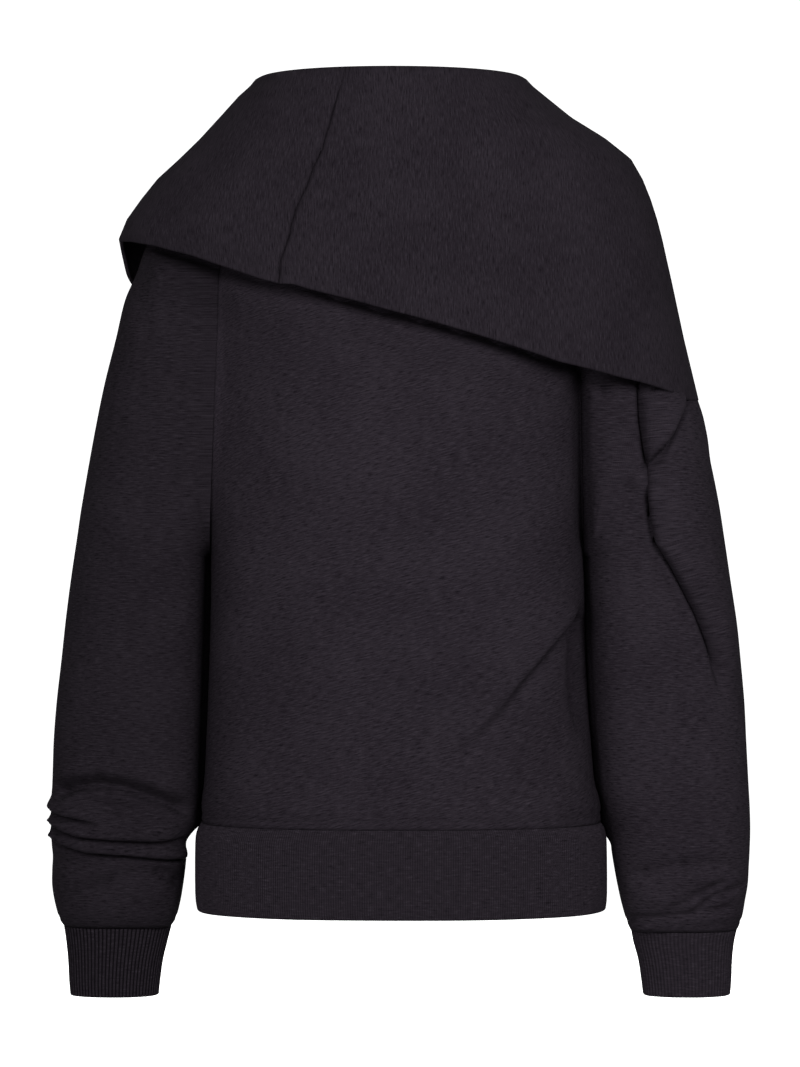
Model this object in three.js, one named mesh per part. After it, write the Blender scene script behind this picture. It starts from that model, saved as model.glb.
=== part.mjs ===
import * as THREE from 'three';

// An oversized sweatshirt, filled out with no wearer, its arms hanging beside the body.
// Millimetres, +Z up, +X to the right of someone who looks along +Y at its back.
// The origin is the middle of the neckline, where the wearer's shoulders carry it.

// Cloth and seams
const CLOTH = 2.4;
const COLLAR_CLOTH = 3.5;
const SEAM_GAP = 0.3;
const HIDDEN_SEAM_GAP = 1.2;

// Round sections: 2 is an ellipse, more is squarer
const BODY_SQUARENESS = 2.2;
const COLLAR_SQUARENESS = 2.1;

// How sharply the body's round section turns into the edge of the armhole
const ARMHOLE_BLEND = 4;

// Heights of the seams
const HEM_SEAM = -583.5;
const UNDERARM = -352;
const SHOULDER_TIP = -22;
const NECKLINE = 0;
const COLLAR_BASE = NECKLINE + SEAM_GAP;

// Neckline, half width and half depth
const NECK_HALF_WIDTH = 100;
const NECK_HALF_DEPTH = 88;

// Armholes: the side of the body at the underarm and at the shoulder tip, and the half depth
const ARMHOLE = {
  left: { low: -164, high: -150, depth: 62 },
  right: { low: 159, high: 150, depth: 52 },
};

// How the sleeve turns down at the underarm
const UNDERARM_TURN = 3;

// Sections of the body from the hem seam up to the shoulder tips
const BODY = [
  { height: -583.5, left: -172, right: 174, depth: 118 },
  { height: -548, left: -169.9, right: 168.5, depth: 118.5 },
  { height: -497, left: -167.5, right: 164.7, depth: 119 },
  { height: -447, left: -165.6, right: 162, depth: 119 },
  { height: -391, left: -164.2, right: 160.3, depth: 118.5 },
  { height: -352, left: -164, right: 159, depth: 118 },
  { height: -217, left: -158, right: 155, depth: 113 },
  { height: -100, left: -153, right: 152, depth: 105 },
  { height: -22, left: -150, right: 150, depth: 96 },
];

// Sections of the hem band from its seam down
const HEM = [
  { height: -583.8, left: -172.5, right: 174.5, depth: 118 },
  { height: -590, left: -176, right: 178, depth: 119 },
  { height: -602, left: -178.2, right: 179.2, depth: 119.5 },
  { height: -645, left: -178.5, right: 179.3, depth: 119.5 },
  { height: -659.5, left: -177, right: 178, depth: 118.5 },
];

// Sections of the cuffs from their seams down
const LEFT_CUFF = [
  { height: -674.8, left: -292.2, right: -198.8, depth: 33 },
  { height: -687, left: -290.4, right: -202, depth: 31 },
  { height: -704, left: -288.8, right: -206.2, depth: 29 },
  { height: -722, left: -288, right: -208.8, depth: 28 },
  { height: -734.5, left: -287, right: -210, depth: 28 },
];
const RIGHT_CUFF = [
  { height: -678.3, left: 201, right: 292.8, depth: 33 },
  { height: -689, left: 203, right: 290.4, depth: 31 },
  { height: -704, left: 207, right: 288.8, depth: 29 },
  { height: -722, left: 209.7, right: 288, depth: 28 },
  { height: -734.5, left: 211, right: 287, depth: 28 },
];

// Sleeve sections. Those with no inner point turn about the underarm.
const LEFT_SLEEVE = [
  { outX: -150.3, outZ: -22, depth: 62 },
  { outX: -184, outZ: -38, depth: 63 },
  { outX: -206, outZ: -57, depth: 64 },
  { outX: -220, outZ: -82, depth: 65 },
  { outX: -229, outZ: -108, depth: 65 },
  { outX: -239, outZ: -131, depth: 65 },
  { outX: -247, outZ: -165, depth: 65 },
  { outX: -257, outZ: -205, depth: 65 },
  { outX: -266.5, outZ: -252, depth: 64 },
  { outX: -275.8, outZ: -304.5, depth: 63 },
  { outX: -281, outZ: -339, depth: 62 },
  { inX: -167.5, inZ: -366, outX: -286.4, outZ: -376, depth: 61 },
  { inX: -168.6, inZ: -402, outX: -290.6, outZ: -409, depth: 60 },
  { inX: -169.6, inZ: -440, outX: -294.4, outZ: -444, depth: 58 },
  { inX: -171, inZ: -478, outX: -298.4, outZ: -479, depth: 57 },
  { inX: -172.2, inZ: -513, outX: -301, outZ: -513, depth: 55.5 },
  { inX: -173, inZ: -546, outX: -302, outZ: -545, depth: 54.5 },
  { inX: -174.5, inZ: -562, outX: -303, outZ: -560, depth: 54 },
  { inX: -177, inZ: -574, outX: -303.6, outZ: -572, depth: 53.5 },
  { inX: -181, inZ: -584, outX: -303.8, outZ: -582, depth: 53 },
  { inX: -184.5, inZ: -593, outX: -303.6, outZ: -590, depth: 52.5 },
  { inX: -185.6, inZ: -601, outX: -303.4, outZ: -598, depth: 52 },
  { inX: -185.8, inZ: -609, outX: -302.6, outZ: -606, depth: 51.5 },
  { inX: -186, inZ: -617, outX: -302, outZ: -615, depth: 51 },
  { inX: -187, inZ: -627, outX: -302.4, outZ: -626, depth: 50 },
  { inX: -188.6, inZ: -639, outX: -302.4, outZ: -639, depth: 48.5 },
  { inX: -191, inZ: -653, outX: -300.2, outZ: -653, depth: 45.5 },
  { inX: -194.6, inZ: -667, outX: -296.4, outZ: -667, depth: 40.5 },
  { inX: -198.6, inZ: -674.5, outX: -292.4, outZ: -674.5, depth: 33.5 },
];
const RIGHT_SLEEVE = [
  { outX: 150.3, outZ: -22, depth: 52 },
  { outX: 182, outZ: -39, depth: 60 },
  { outX: 203, outZ: -61, depth: 65 },
  { outX: 216, outZ: -86, depth: 67 },
  { outX: 225, outZ: -115, depth: 68 },
  { outX: 233, outZ: -148, depth: 68 },
  { outX: 241, outZ: -178, depth: 63 },
  { outX: 248, outZ: -202, depth: 62 },
  { outX: 252.5, outZ: -218.5, depth: 62 },
  { outX: 261, outZ: -228, depth: 66 },
  { outX: 268, outZ: -261, depth: 69 },
  { outX: 276.5, outZ: -304.5, depth: 68 },
  { outX: 282, outZ: -340, depth: 66 },
  { inX: 162.8, inZ: -368, outX: 287, outZ: -375, depth: 64 },
  { inX: 164.4, inZ: -402, outX: 292, outZ: -409, depth: 62 },
  { inX: 165.6, inZ: -440, outX: 296, outZ: -444, depth: 59 },
  { inX: 167.4, inZ: -478, outX: 299.3, outZ: -479, depth: 57 },
  { inX: 169.8, inZ: -513, outX: 301, outZ: -513, depth: 56 },
  { inX: 172.6, inZ: -548, outX: 302.8, outZ: -548, depth: 54.5 },
  { inX: 177, inZ: -572, outX: 304, outZ: -570, depth: 54 },
  { inX: 182.4, inZ: -592, outX: 304.5, outZ: -590, depth: 53 },
  { inX: 184, inZ: -609, outX: 304, outZ: -608, depth: 52 },
  { inX: 186.4, inZ: -624, outX: 303.2, outZ: -624, depth: 50.5 },
  { inX: 189, inZ: -638, outX: 302.4, outZ: -638, depth: 49 },
  { inX: 192, inZ: -652, outX: 300, outZ: -652, depth: 46 },
  { inX: 195.8, inZ: -666, outX: 297.5, outZ: -666, depth: 41 },
  { inX: 200, inZ: -678, outX: 293.4, outZ: -678, depth: 33.5 },
];

// The collar's sheet: up from the neckline, over its fold and down the fall
const COLLAR_STAND = [
  { height: COLLAR_BASE, left: -96, right: 96, depth: 84 },
  { height: 20, left: -102, right: 96, depth: 86 },
  { height: 42, left: -110, right: 98, depth: 90 },
  { height: 54, left: -114, right: 100, depth: 92 },
  { height: 59.5, left: -117, right: 102.5, depth: 94.5 },
  { height: 62, left: -121, right: 106, depth: 98 },
  { height: 59.5, left: -126.5, right: 111, depth: 102.5 },
];
const COLLAR_FALL = [
  { height: -240, left: -238, right: 264, depth: 137 },
  { height: -217, left: -238, right: 259.5, depth: 137 },
  { height: -165, left: -238, right: 247, depth: 137 },
  { height: -116, left: -238, right: 236.5, depth: 136 },
  { height: -96, left: -241, right: 232, depth: 135.5 },
  { height: -78, left: -244.5, right: 228, depth: 134.5 },
  { height: -61, left: -237.5, right: 223.6, depth: 133 },
  { height: -43.5, left: -225, right: 218, depth: 131.5 },
  { height: -26, left: -211, right: 211, depth: 129 },
  { height: -8.7, left: -192, right: 201, depth: 126 },
  { height: 8.7, left: -174, right: 179, depth: 122.5 },
  { height: 26, left: -158, right: 150.5, depth: 118 },
  { height: 45, left: -141, right: 127, depth: 110 },
  { height: 54, left: -131, right: 116, depth: 105.5 },
  { height: 59.5, left: -126.5, right: 111, depth: 102.5 },
];

// Lower edge of the collar round the body: 0 is the left, 90 the back, 180 the right
const COLLAR_EDGE = [
  { angle: -70, height: -148 },
  { angle: -45, height: -131 },
  { angle: -25, height: -120 },
  { angle: -10, height: -116 },
  { angle: -4, height: -108 },
  { angle: 2, height: -88 },
  { angle: 8, height: -80 },
  { angle: 19, height: -82 },
  { angle: 31, height: -87 },
  { angle: 44, height: -97 },
  { angle: 54, height: -108.5 },
  { angle: 65, height: -121.5 },
  { angle: 73, height: -128 },
  { angle: 81, height: -136.5 },
  { angle: 90, height: -148 },
  { angle: 105, height: -167.5 },
  { angle: 120, height: -187.4 },
  { angle: 135, height: -199.6 },
  { angle: 150, height: -209 },
  { angle: 162, height: -217 },
  { angle: 180, height: -217 },
  { angle: 200, height: -214 },
  { angle: 225, height: -200 },
  { angle: 250, height: -180 },
  { angle: 270, height: -164 },
  { angle: 290, height: -148 },
];

// The seam down the back of the collar, and a plain one opposite
const COLLAR_SEAM = [
  { height: -130, angle: 65 },
  { height: -105, angle: 66.5 },
  { height: -80, angle: 70 },
  { height: -40, angle: 71 },
  { height: 6, angle: 70 },
  { height: 62, angle: 73 },
];
const FAR_COLLAR_SEAM = [
  { height: -150, angle: 290 },
  { height: 62, angle: 290 },
];

// Ribbing: each rib of the solid stands for a pair of knitted ones
const HEM_RIBS = 144;
const CUFF_RIBS = 40;
const RIB_HEIGHT = 0.8;

// The largest folds, each along a path of [x, z], on the back (-1) or the front (1).
// A ridge is even about its path. A step rises to its right and fades away over its reach.
const BODY_FOLDS = [
  {
    side: -1, kind: 'ridge', height: 7, spread: 15,
    path: [[158, -392], [143, -413], [122, -438], [102, -461], [82, -485], [50, -512]],
  },
  { side: -1, kind: 'ridge', height: 3.5, spread: 22, path: [[-150, -400], [-112, -452], [-90, -520]] },
  {
    side: 1, kind: 'ridge', height: 6, spread: 16,
    path: [[154, -398], [132, -430], [104, -462], [70, -500]],
  },
  {
    side: 1, kind: 'ridge', height: 5, spread: 17,
    path: [[-156, -394], [-130, -430], [-100, -468], [-72, -500]],
  },
];
const RIGHT_SLEEVE_FOLDS = [
  {
    side: -1, kind: 'step', height: 9, spread: 7, reach: 70,
    path: [[203, -200], [203, -255], [209, -312], [218, -340], [243, -380], [265, -433], [276, -458]],
  },
  { side: -1, kind: 'ridge', height: 5, spread: 9, path: [[238, -232], [222, -258], [212, -284]] },
  { side: -1, kind: 'ridge', height: 5, spread: 12, path: [[190, -612], [240, -622], [300, -618]] },
  { side: -1, kind: 'ridge', height: 3, spread: 12, path: [[176, -540], [236, -560], [296, -562]] },
  {
    side: 1, kind: 'step', height: 7, spread: 8, reach: 60,
    path: [[206, -220], [205, -280], [214, -334], [240, -384], [262, -440]],
  },
  { side: 1, kind: 'ridge', height: 5, spread: 13, path: [[190, -606], [244, -616], [300, -604]] },
];
const LEFT_SLEEVE_FOLDS = [
  { side: -1, kind: 'ridge', height: 5, spread: 9, path: [[-298, -580], [-240, -588], [-188, -586]] },
  { side: -1, kind: 'ridge', height: 5, spread: 7, path: [[-298, -600], [-240, -606], [-190, -608]] },
  { side: -1, kind: 'ridge', height: 6, spread: 11, path: [[-296, -630], [-240, -636], [-194, -632]] },
  { side: -1, kind: 'ridge', height: 4, spread: 14, path: [[-276, -300], [-236, -330], [-204, -392]] },
  { side: 1, kind: 'ridge', height: 5, spread: 10, path: [[-298, -584], [-246, -596], [-192, -590]] },
  { side: 1, kind: 'ridge', height: 5, spread: 12, path: [[-296, -622], [-250, -634], [-194, -622]] },
];

// How many faces each wall has, across and along, and how much coarser its plain inside is
const BODY_GRID = { columns: 24, lower: 10, armhole: 12, yoke: 2 };
const SLEEVE_COLUMNS = 32;
const COLLAR_GRID = { leftColumns: 16, rightColumns: 26, fall: 10 };

// Finish of the cloth
const JERSEY = { color: 0x38333a, roughness: 0.94, metalness: 0 };
const RIB_KNIT = { color: 0x352f37, roughness: 0.95, metalness: 0 };

const { abs, cos, sin, sign, max, min, hypot, PI } = Math;
const mix = (a, b, t) => a + (b - a) * t;
const clamp = (value, low, high) => min(high, max(low, value));
const power = (value, exponent) => sign(value) * abs(value) ** exponent;

function smoothstep(low, high, value) {
  const t = clamp((value - low) / (high - low), 0, 1);
  return t * t * (3 - 2 * t);
}

// Value of one column of a table at a value of another, with straight lines between its rows.
function lookUp(table, key, at, column) {
  const rising = table[0][key] < table[table.length - 1][key];
  const rows = rising ? table : [...table].reverse();
  const next = clamp(rows.findIndex((row) => row[key] >= at), 1, rows.length - 1);
  const index = rows[rows.length - 1][key] < at ? rows.length - 1 : next;
  const [before, after] = [rows[index - 1], rows[index]];
  const t = clamp((at - before[key]) / (after[key] - before[key]), 0, 1);
  return mix(before[column], after[column], t);
}

// Value of a column at a fractional row, on a smooth curve through the rows.
function alongRows(table, place, column) {
  const last = table.length - 1;
  const index = clamp(Math.floor(place), 0, last - 1);
  const t = place - index;
  const [a, b, c, d] = [-1, 0, 1, 2].map((step) => table[clamp(index + step, 0, last)][column]);
  const slope = (c - a) / 2;
  const nextSlope = (d - b) / 2;
  const rise = c - b;
  return b + t * (slope + t * ((3 * rise - 2 * slope - nextSlope) + t * (slope + nextSlope - 2 * rise)));
}

// Distance from a point to a path, and whether the point is on its right seen from the back.
function pathDistance(path, x, z) {
  let nearest = { distance: Infinity, right: 1, along: 0 };
  for (let i = 0; i + 1 < path.length; i += 1) {
    const [ax, az] = path[i];
    const [dx, dz] = [path[i + 1][0] - ax, path[i + 1][1] - az];
    const along = ((x - ax) * dx + (z - az) * dz) / (dx * dx + dz * dz);
    const t = clamp(along, 0, 1);
    const distance = hypot(x - ax - dx * t, z - az - dz * t);
    if (distance < nearest.distance) {
      nearest = { distance, right: (z - az) * dx - (x - ax) * dz > 0 ? 1 : -1, along: i + t };
    }
  }
  return nearest;
}

// How far the folds of one side lift the cloth at a point.
function foldLift(folds, side, x, z) {
  let lift = 0;
  for (const fold of folds.filter((one) => one.side === side)) {
    const { distance, right, along } = pathDistance(fold.path, x, z);
    const ends = smoothstep(0, 0.7, along + 0.25) * smoothstep(0, 1, fold.path.length - 0.9 - along);
    if (fold.kind === 'ridge') {
      lift += fold.height * ends * Math.exp(-((distance / fold.spread) ** 2));
    } else {
      const signed = distance * right;
      const rise = smoothstep(-fold.spread, fold.spread, signed);
      lift += fold.height * ends * rise * Math.exp(-((max(0, signed) / fold.reach) ** 2));
    }
  }
  return lift;
}

// A closed wall between an outer grid of points and a coarser inner one.
function wall(outer, inner, { columns, rows, coarse, round = false }) {
  const [coarseColumns, coarseRows] = coarse;
  const points = [];
  const faces = [];
  const layGrid = (place, across, along) => {
    const width = round ? across : across + 1;
    const first = points.length;
    for (let j = 0; j <= along; j += 1) {
      for (let i = 0; i < width; i += 1) points.push(place(i / across, j / along, i));
    }
    return (i, j) => first + j * width + (round ? i % across : i);
  };
  const quads = (at, across, along, flipped) => {
    for (let j = 0; j < along; j += 1) {
      for (let i = 0; i < across; i += 1) {
        const [a, b, c, d] = [at(i, j), at(i + 1, j), at(i + 1, j + 1), at(i, j + 1)];
        if (flipped) faces.push([a, c, b], [a, d, c]);
        else faces.push([a, b, c], [a, c, d]);
      }
    }
  };
  // Joins an edge of the outer grid to the same edge of the inner one.
  const strip = (outerEdge, innerEdge, ratio) => {
    for (let j = 0; j + 1 < innerEdge.length; j += 1) {
      const middle = Math.floor(ratio / 2);
      for (let i = 0; i < ratio; i += 1) {
        const near = i < middle ? innerEdge[j] : innerEdge[j + 1];
        faces.push([outerEdge[j * ratio + i], outerEdge[j * ratio + i + 1], near]);
      }
      faces.push([outerEdge[j * ratio + middle], innerEdge[j + 1], innerEdge[j]]);
    }
  };
  const [innerColumns, innerRows] = [columns / coarseColumns, rows / coarseRows];
  const outerAt = layGrid(outer, columns, rows);
  const innerAt = layGrid(inner, innerColumns, innerRows);
  quads(outerAt, columns, rows, false);
  quads(innerAt, innerColumns, innerRows, true);
  const list = (count, at) => Array.from({ length: count + 1 }, (_, index) => at(index));
  const edge = (at, count, j) => list(count, (i) => at(i, j));
  const flank = (at, count, i) => list(count, (j) => at(i, j));
  strip(edge(outerAt, columns, 0).reverse(), edge(innerAt, innerColumns, 0).reverse(), coarseColumns);
  strip(edge(outerAt, columns, rows), edge(innerAt, innerColumns, innerRows), coarseColumns);
  if (!round) {
    strip(flank(outerAt, rows, 0), flank(innerAt, innerRows, 0), coarseRows);
    const lastOuter = flank(outerAt, rows, columns).reverse();
    strip(lastOuter, flank(innerAt, innerRows, innerColumns).reverse(), coarseRows);
  }
  return closedGeometry(points, faces);
}

// Indexed geometry with its faces turned outwards.
function closedGeometry(points, faces) {
  let volume = 0;
  for (const [a, b, c] of faces) {
    volume += points[a].dot(new THREE.Vector3().crossVectors(points[b], points[c]));
  }
  const outward = volume > 0 ? faces : faces.map(([a, b, c]) => [a, c, b]);
  const geometry = new THREE.BufferGeometry();
  const numbers = points.flatMap((point) => [point.x, point.y, point.z]);
  geometry.setAttribute('position', new THREE.Float32BufferAttribute(numbers, 3));
  geometry.setIndex(outward.flat());
  geometry.computeVertexNormals();
  return geometry;
}

// A level round section: turn 0 is its right end, a quarter is its back.
function sectionPoint({ height, left, right, depth }, turn, inset, squareness) {
  const halfWidth = (right - left) / 2 - inset;
  const across = power(cos(turn), 2 / squareness);
  const away = power(sin(turn), 2 / squareness);
  return new THREE.Vector3((left + right) / 2 + halfWidth * across, -(depth - inset) * away, height);
}

// One row of a body panel: its sides, depth, and the depth of the armhole's edges.
function bodyRow(place) {
  const { lower, armhole, yoke } = BODY_GRID;
  const row = place * (lower + armhole + yoke);
  const climb = clamp((row - lower) / armhole, 0, 1);
  const aboveHem = HEM_SEAM + SEAM_GAP / 2;
  const inArmhole = mix(UNDERARM, SHOULDER_TIP, (1 - cos(PI * climb)) / 2);
  const height = row < lower ? mix(aboveHem, UNDERARM, row / lower) : inArmhole;
  const rise = (height - UNDERARM) / (SHOULDER_TIP - UNDERARM);
  const side = ({ low, high }, name) => {
    return rise > 0 ? mix(low, high, rise) : lookUp(BODY, 'height', height, name);
  };
  const edge = ({ depth }) => {
    const open = rise > 0 ? 1 - abs(2 * rise - 1) ** BODY_SQUARENESS : 0;
    return depth * max(0, open) ** (1 / BODY_SQUARENESS);
  };
  return {
    height,
    left: side(ARMHOLE.left, 'left'),
    right: side(ARMHOLE.right, 'right'),
    depth: lookUp(BODY, 'height', height, 'depth'),
    edges: { left: edge(ARMHOLE.left), right: edge(ARMHOLE.right) },
    toNeck: clamp((row - lower - armhole) / yoke, 0, 1),
    drop: smoothstep(0.7, 1, rise),
  };
}

// A point of the front or back panel, from its right edge (0) to its left one (1).
function bodyPoint(side, across, place, inset) {
  const row = bodyRow(place);
  const turn = PI * across;
  const over = power(cos(turn), 2 / BODY_SQUARENESS);
  const left = row.left + inset;
  const right = row.right - inset;
  const edge = max(0, mix(row.edges.left, row.edges.right, (over + 1) / 2) - inset);
  const round = (row.depth - inset) * power(sin(turn), 2 / BODY_SQUARENESS);
  const x = mix(left, right, (over + 1) / 2);
  const lift = inset > 0 ? 0 : foldLift(BODY_FOLDS, side, x, row.height) * smoothstep(0, 0.35, sin(turn));
  const away = (edge ** ARMHOLE_BLEND + round ** ARMHOLE_BLEND) ** (1 / ARMHOLE_BLEND) + lift;
  const neckX = (NECK_HALF_WIDTH - inset) * cos(turn);
  const neckAway = (NECK_HALF_DEPTH - inset) * sin(turn);
  return new THREE.Vector3(
    mix(x, neckX, row.toNeck),
    side * max(SEAM_GAP / 2, mix(away, neckAway, row.toNeck)),
    mix(row.height, NECKLINE, row.toNeck) - inset * row.drop,
  );
}

function bodyPanel(side) {
  const { columns, lower, armhole, yoke } = BODY_GRID;
  return wall(
    (u, v) => bodyPoint(side, u, v, 0),
    (u, v) => bodyPoint(side, u, v, CLOTH),
    { columns, rows: lower + armhole + yoke, coarse: [2, 2] },
  );
}

// Inner end of a sleeve section that turns about the underarm.
function turnedEnd(armhole, hand, outX, outZ) {
  const lean = abs(armhole.low - armhole.high) / (SHOULDER_TIP - UNDERARM);
  const x = armhole.low + hand * (SEAM_GAP + UNDERARM_TURN * lean);
  const z = UNDERARM - UNDERARM_TURN;
  const reach = hypot(outX - x, outZ - z);
  return [x + (UNDERARM_TURN * (outX - x)) / reach, z + (UNDERARM_TURN * (outZ - z)) / reach];
}

// A point of a sleeve: turn 0 is its outer line, half a turn its inner one.
function sleevePoint({ table, hand, armhole, folds }, turn, place, inset) {
  const ends = table.map((row) => {
    const [turnX, turnZ] = turnedEnd(armhole, hand, row.outX, row.outZ);
    return { ...row, inX: row.inX ?? turnX, inZ: row.inZ ?? turnZ };
  });
  const last = table.length - 1;
  const at = (column) => alongRows(ends, place * last, column);
  const [inX, inZ, outX, outZ] = ['inX', 'inZ', 'outX', 'outZ'].map(at);
  const half = hypot(outX - inX, outZ - inZ) / 2;
  const [chordX, chordZ] = [(outX - inX) / 2 / half, (outZ - inZ) / 2 / half];
  const depth = at('depth');
  const along = (half - inset) * power(cos(turn), 2 / BODY_SQUARENESS);
  const away = (depth - inset) * power(sin(turn), 2 / BODY_SQUARENESS);
  const x = (inX + outX) / 2 + along * chordX;
  const z = (inZ + outZ) / 2 + along * chordZ;
  const ease = smoothstep(0, 1.5, place * last) * smoothstep(0, 1.5, last - place * last);
  const side = away > 0 ? -1 : 1;
  const lift = inset > 0 ? 0 : foldLift(folds, side, x, z) * ease * smoothstep(0, 0.4, abs(sin(turn)));
  return new THREE.Vector3(x, -away + side * lift, z);
}

function sleeve(shape) {
  const sections = shape.table.length - 1;
  const rows = sections + (sections % 2);
  return wall(
    (u, v) => sleevePoint(shape, 2 * PI * u, v, 0),
    (u, v) => sleevePoint(shape, 2 * PI * u, v, CLOTH),
    { columns: SLEEVE_COLUMNS, rows, coarse: [2, 2], round: true },
  );
}

// A ribbed band: every second point round it stands out by the height of a rib.
function ribBand(table, ribs, rows) {
  const last = table.length - 1;
  const section = (v) => {
    const names = ['height', 'left', 'right', 'depth'];
    return Object.fromEntries(names.map((name) => [name, alongRows(table, v * last, name)]));
  };
  return wall(
    (u, v, i) => sectionPoint(section(v), 2 * PI * u, i % 2 ? RIB_HEIGHT : 0, BODY_SQUARENESS),
    (u, v) => sectionPoint(section(v), 2 * PI * u, CLOTH + RIB_HEIGHT, BODY_SQUARENESS),
    { columns: ribs * 2, rows, coarse: [4, rows], round: true },
  );
}

// A point of the collar's sheet at an angle round it and a row from the neckline to the edge.
function collarPoint(degrees, row) {
  const stand = COLLAR_STAND.length - 1;
  const section = {};
  if (row <= stand) {
    for (const name of ['height', 'left', 'right', 'depth']) section[name] = alongRows(COLLAR_STAND, row, name);
  } else {
    const edge = lookUp(COLLAR_EDGE, 'angle', degrees, 'height');
    section.height = mix(COLLAR_STAND[stand].height, edge, (row - stand) / COLLAR_GRID.fall);
    for (const name of ['left', 'right', 'depth']) {
      section[name] = lookUp(COLLAR_FALL, 'height', section.height, name);
    }
  }
  return sectionPoint(section, PI - (degrees * PI) / 180, 0, COLLAR_SQUARENESS);
}

// The hidden side of the collar's sheet, its thickness away from the side that shows.
function collarHidden(degrees, row) {
  const [turnStep, rowStep] = [0.5, 0.05];
  const here = collarPoint(degrees, row);
  const round = collarPoint(degrees + turnStep, row).sub(collarPoint(degrees - turnStep, row));
  const up = collarPoint(degrees, row + rowStep).sub(collarPoint(degrees, row - rowStep));
  const normal = round.cross(up).normalize();
  const hidden = here.clone().addScaledVector(normal, COLLAR_CLOTH);
  hidden.z = row === 0 ? COLLAR_BASE : hidden.z;
  return hidden;
}

function collarPiece(startSeam, endSeam, startTurn, columns) {
  const rows = COLLAR_STAND.length - 1 + COLLAR_GRID.fall;
  const seamAngle = (seam, row, turn) => {
    const level = collarPoint(seam[0].angle + turn, row).z;
    return lookUp(seam, 'height', level, 'angle') + turn;
  };
  const place = (point, gap) => (u, v) => {
    const row = v * rows;
    const halfGap = (gap / 2 / NECK_HALF_WIDTH) * (180 / PI);
    const from = seamAngle(startSeam, row, startTurn) + halfGap;
    const to = seamAngle(endSeam, row, 0) - halfGap;
    return point(mix(from, to, u), row);
  };
  return wall(
    place(collarPoint, SEAM_GAP),
    place(collarHidden, HIDDEN_SEAM_GAP),
    { columns, rows, coarse: [2, 1] },
  );
}

function named(name, geometry, finish) {
  const mesh = new THREE.Mesh(geometry, new THREE.MeshStandardMaterial(finish));
  mesh.name = name;
  return mesh;
}

const sleeves = {
  left: { table: LEFT_SLEEVE, hand: -1, armhole: ARMHOLE.left, folds: LEFT_SLEEVE_FOLDS },
  right: { table: RIGHT_SLEEVE, hand: 1, armhole: ARMHOLE.right, folds: RIGHT_SLEEVE_FOLDS },
};

const sweatshirt = new THREE.Group();
sweatshirt.add(
  named('back_panel', bodyPanel(-1), JERSEY),
  named('front_panel', bodyPanel(1), JERSEY),
  named('sleeve_left', sleeve(sleeves.left), JERSEY),
  named('sleeve_right', sleeve(sleeves.right), JERSEY),
  named('hem_rib', ribBand(HEM, HEM_RIBS, 4), RIB_KNIT),
  named('cuff_left', ribBand(LEFT_CUFF, CUFF_RIBS, 4), RIB_KNIT),
  named('cuff_right', ribBand(RIGHT_CUFF, CUFF_RIBS, 4), RIB_KNIT),
  named('collar_left', collarPiece(FAR_COLLAR_SEAM, COLLAR_SEAM, -360, COLLAR_GRID.leftColumns), JERSEY),
  named('collar_right', collarPiece(COLLAR_SEAM, FAR_COLLAR_SEAM, 0, COLLAR_GRID.rightColumns), JERSEY),
);

export default sweatshirt;
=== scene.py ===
"""An oversized sweatshirt with a large turned-over collar, filled out with no wearer.

Each cut piece is a thin shell of cloth on the form of its solid, with its creases, seams and ribs
in the mesh. Sizes are in millimetres in the tables and in metres in the meshes. +Z is up, +X is to
the right of someone who looks at the back, and the back faces -Y.
"""

import logging
import math
from collections.abc import Sequence
from dataclasses import dataclass, field
from enum import Enum
from typing import Any

import bpy
import numpy as np
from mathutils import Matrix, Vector
from numpy.typing import NDArray


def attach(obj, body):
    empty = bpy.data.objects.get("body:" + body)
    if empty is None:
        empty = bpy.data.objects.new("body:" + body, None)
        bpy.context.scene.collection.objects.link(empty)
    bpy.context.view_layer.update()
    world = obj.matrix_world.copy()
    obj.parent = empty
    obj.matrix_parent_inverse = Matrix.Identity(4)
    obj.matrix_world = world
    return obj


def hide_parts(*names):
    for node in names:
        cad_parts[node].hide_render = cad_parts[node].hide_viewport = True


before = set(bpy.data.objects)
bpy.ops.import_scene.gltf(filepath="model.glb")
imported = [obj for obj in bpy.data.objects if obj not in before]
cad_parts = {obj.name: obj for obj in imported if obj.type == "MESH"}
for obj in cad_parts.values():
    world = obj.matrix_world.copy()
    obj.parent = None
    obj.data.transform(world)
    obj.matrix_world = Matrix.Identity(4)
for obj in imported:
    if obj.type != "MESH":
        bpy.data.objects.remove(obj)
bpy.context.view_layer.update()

Array = NDArray[np.float64]
Path = tuple[tuple[float, float], ...]

log = logging.getLogger("sweatshirt")

MM = 0.001
BODY = "root"
GRAIN = "grain"

# The gap at a seam, and the height and half width of the topstitching's trench, in millimetres
SEAM_GAP = 0.12
STITCH_HEIGHT = 8.0
STITCH_SPREAD = 1.5
# How far a seam's edge is rounded, how high stitches lie and a rib's width on a cuff, in metres
SEAM_RIM = 0.05 * MM
STITCH_RISE = 0.126 * MM
CUFF_PITCH = 3.3 * MM
# Steps of the half ellipse that rounds an edge
RIM_STEPS = 6


class Side(Enum):
    """Which side of the garment: the back faces the camera."""

    BACK = -1
    FRONT = 1


class Form(Enum):
    """The section of a crease: even flanks about its path, or a step up to its right."""

    RIDGE = "ridge"
    STEP = "step"


class Slot(Enum):
    """Material slots of the record."""

    JERSEY = "jersey"
    RIB = "rib_knit"


@dataclass(frozen=True)
class Section:
    """A level round section of a piece, in millimetres."""

    height: float
    left: float
    right: float
    depth: float


@dataclass(frozen=True)
class SleeveSection:
    """A section of a sleeve. One with no inner point turns about the underarm."""

    out_x: float
    out_z: float
    depth: float
    in_x: float | None = None
    in_z: float | None = None


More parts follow.
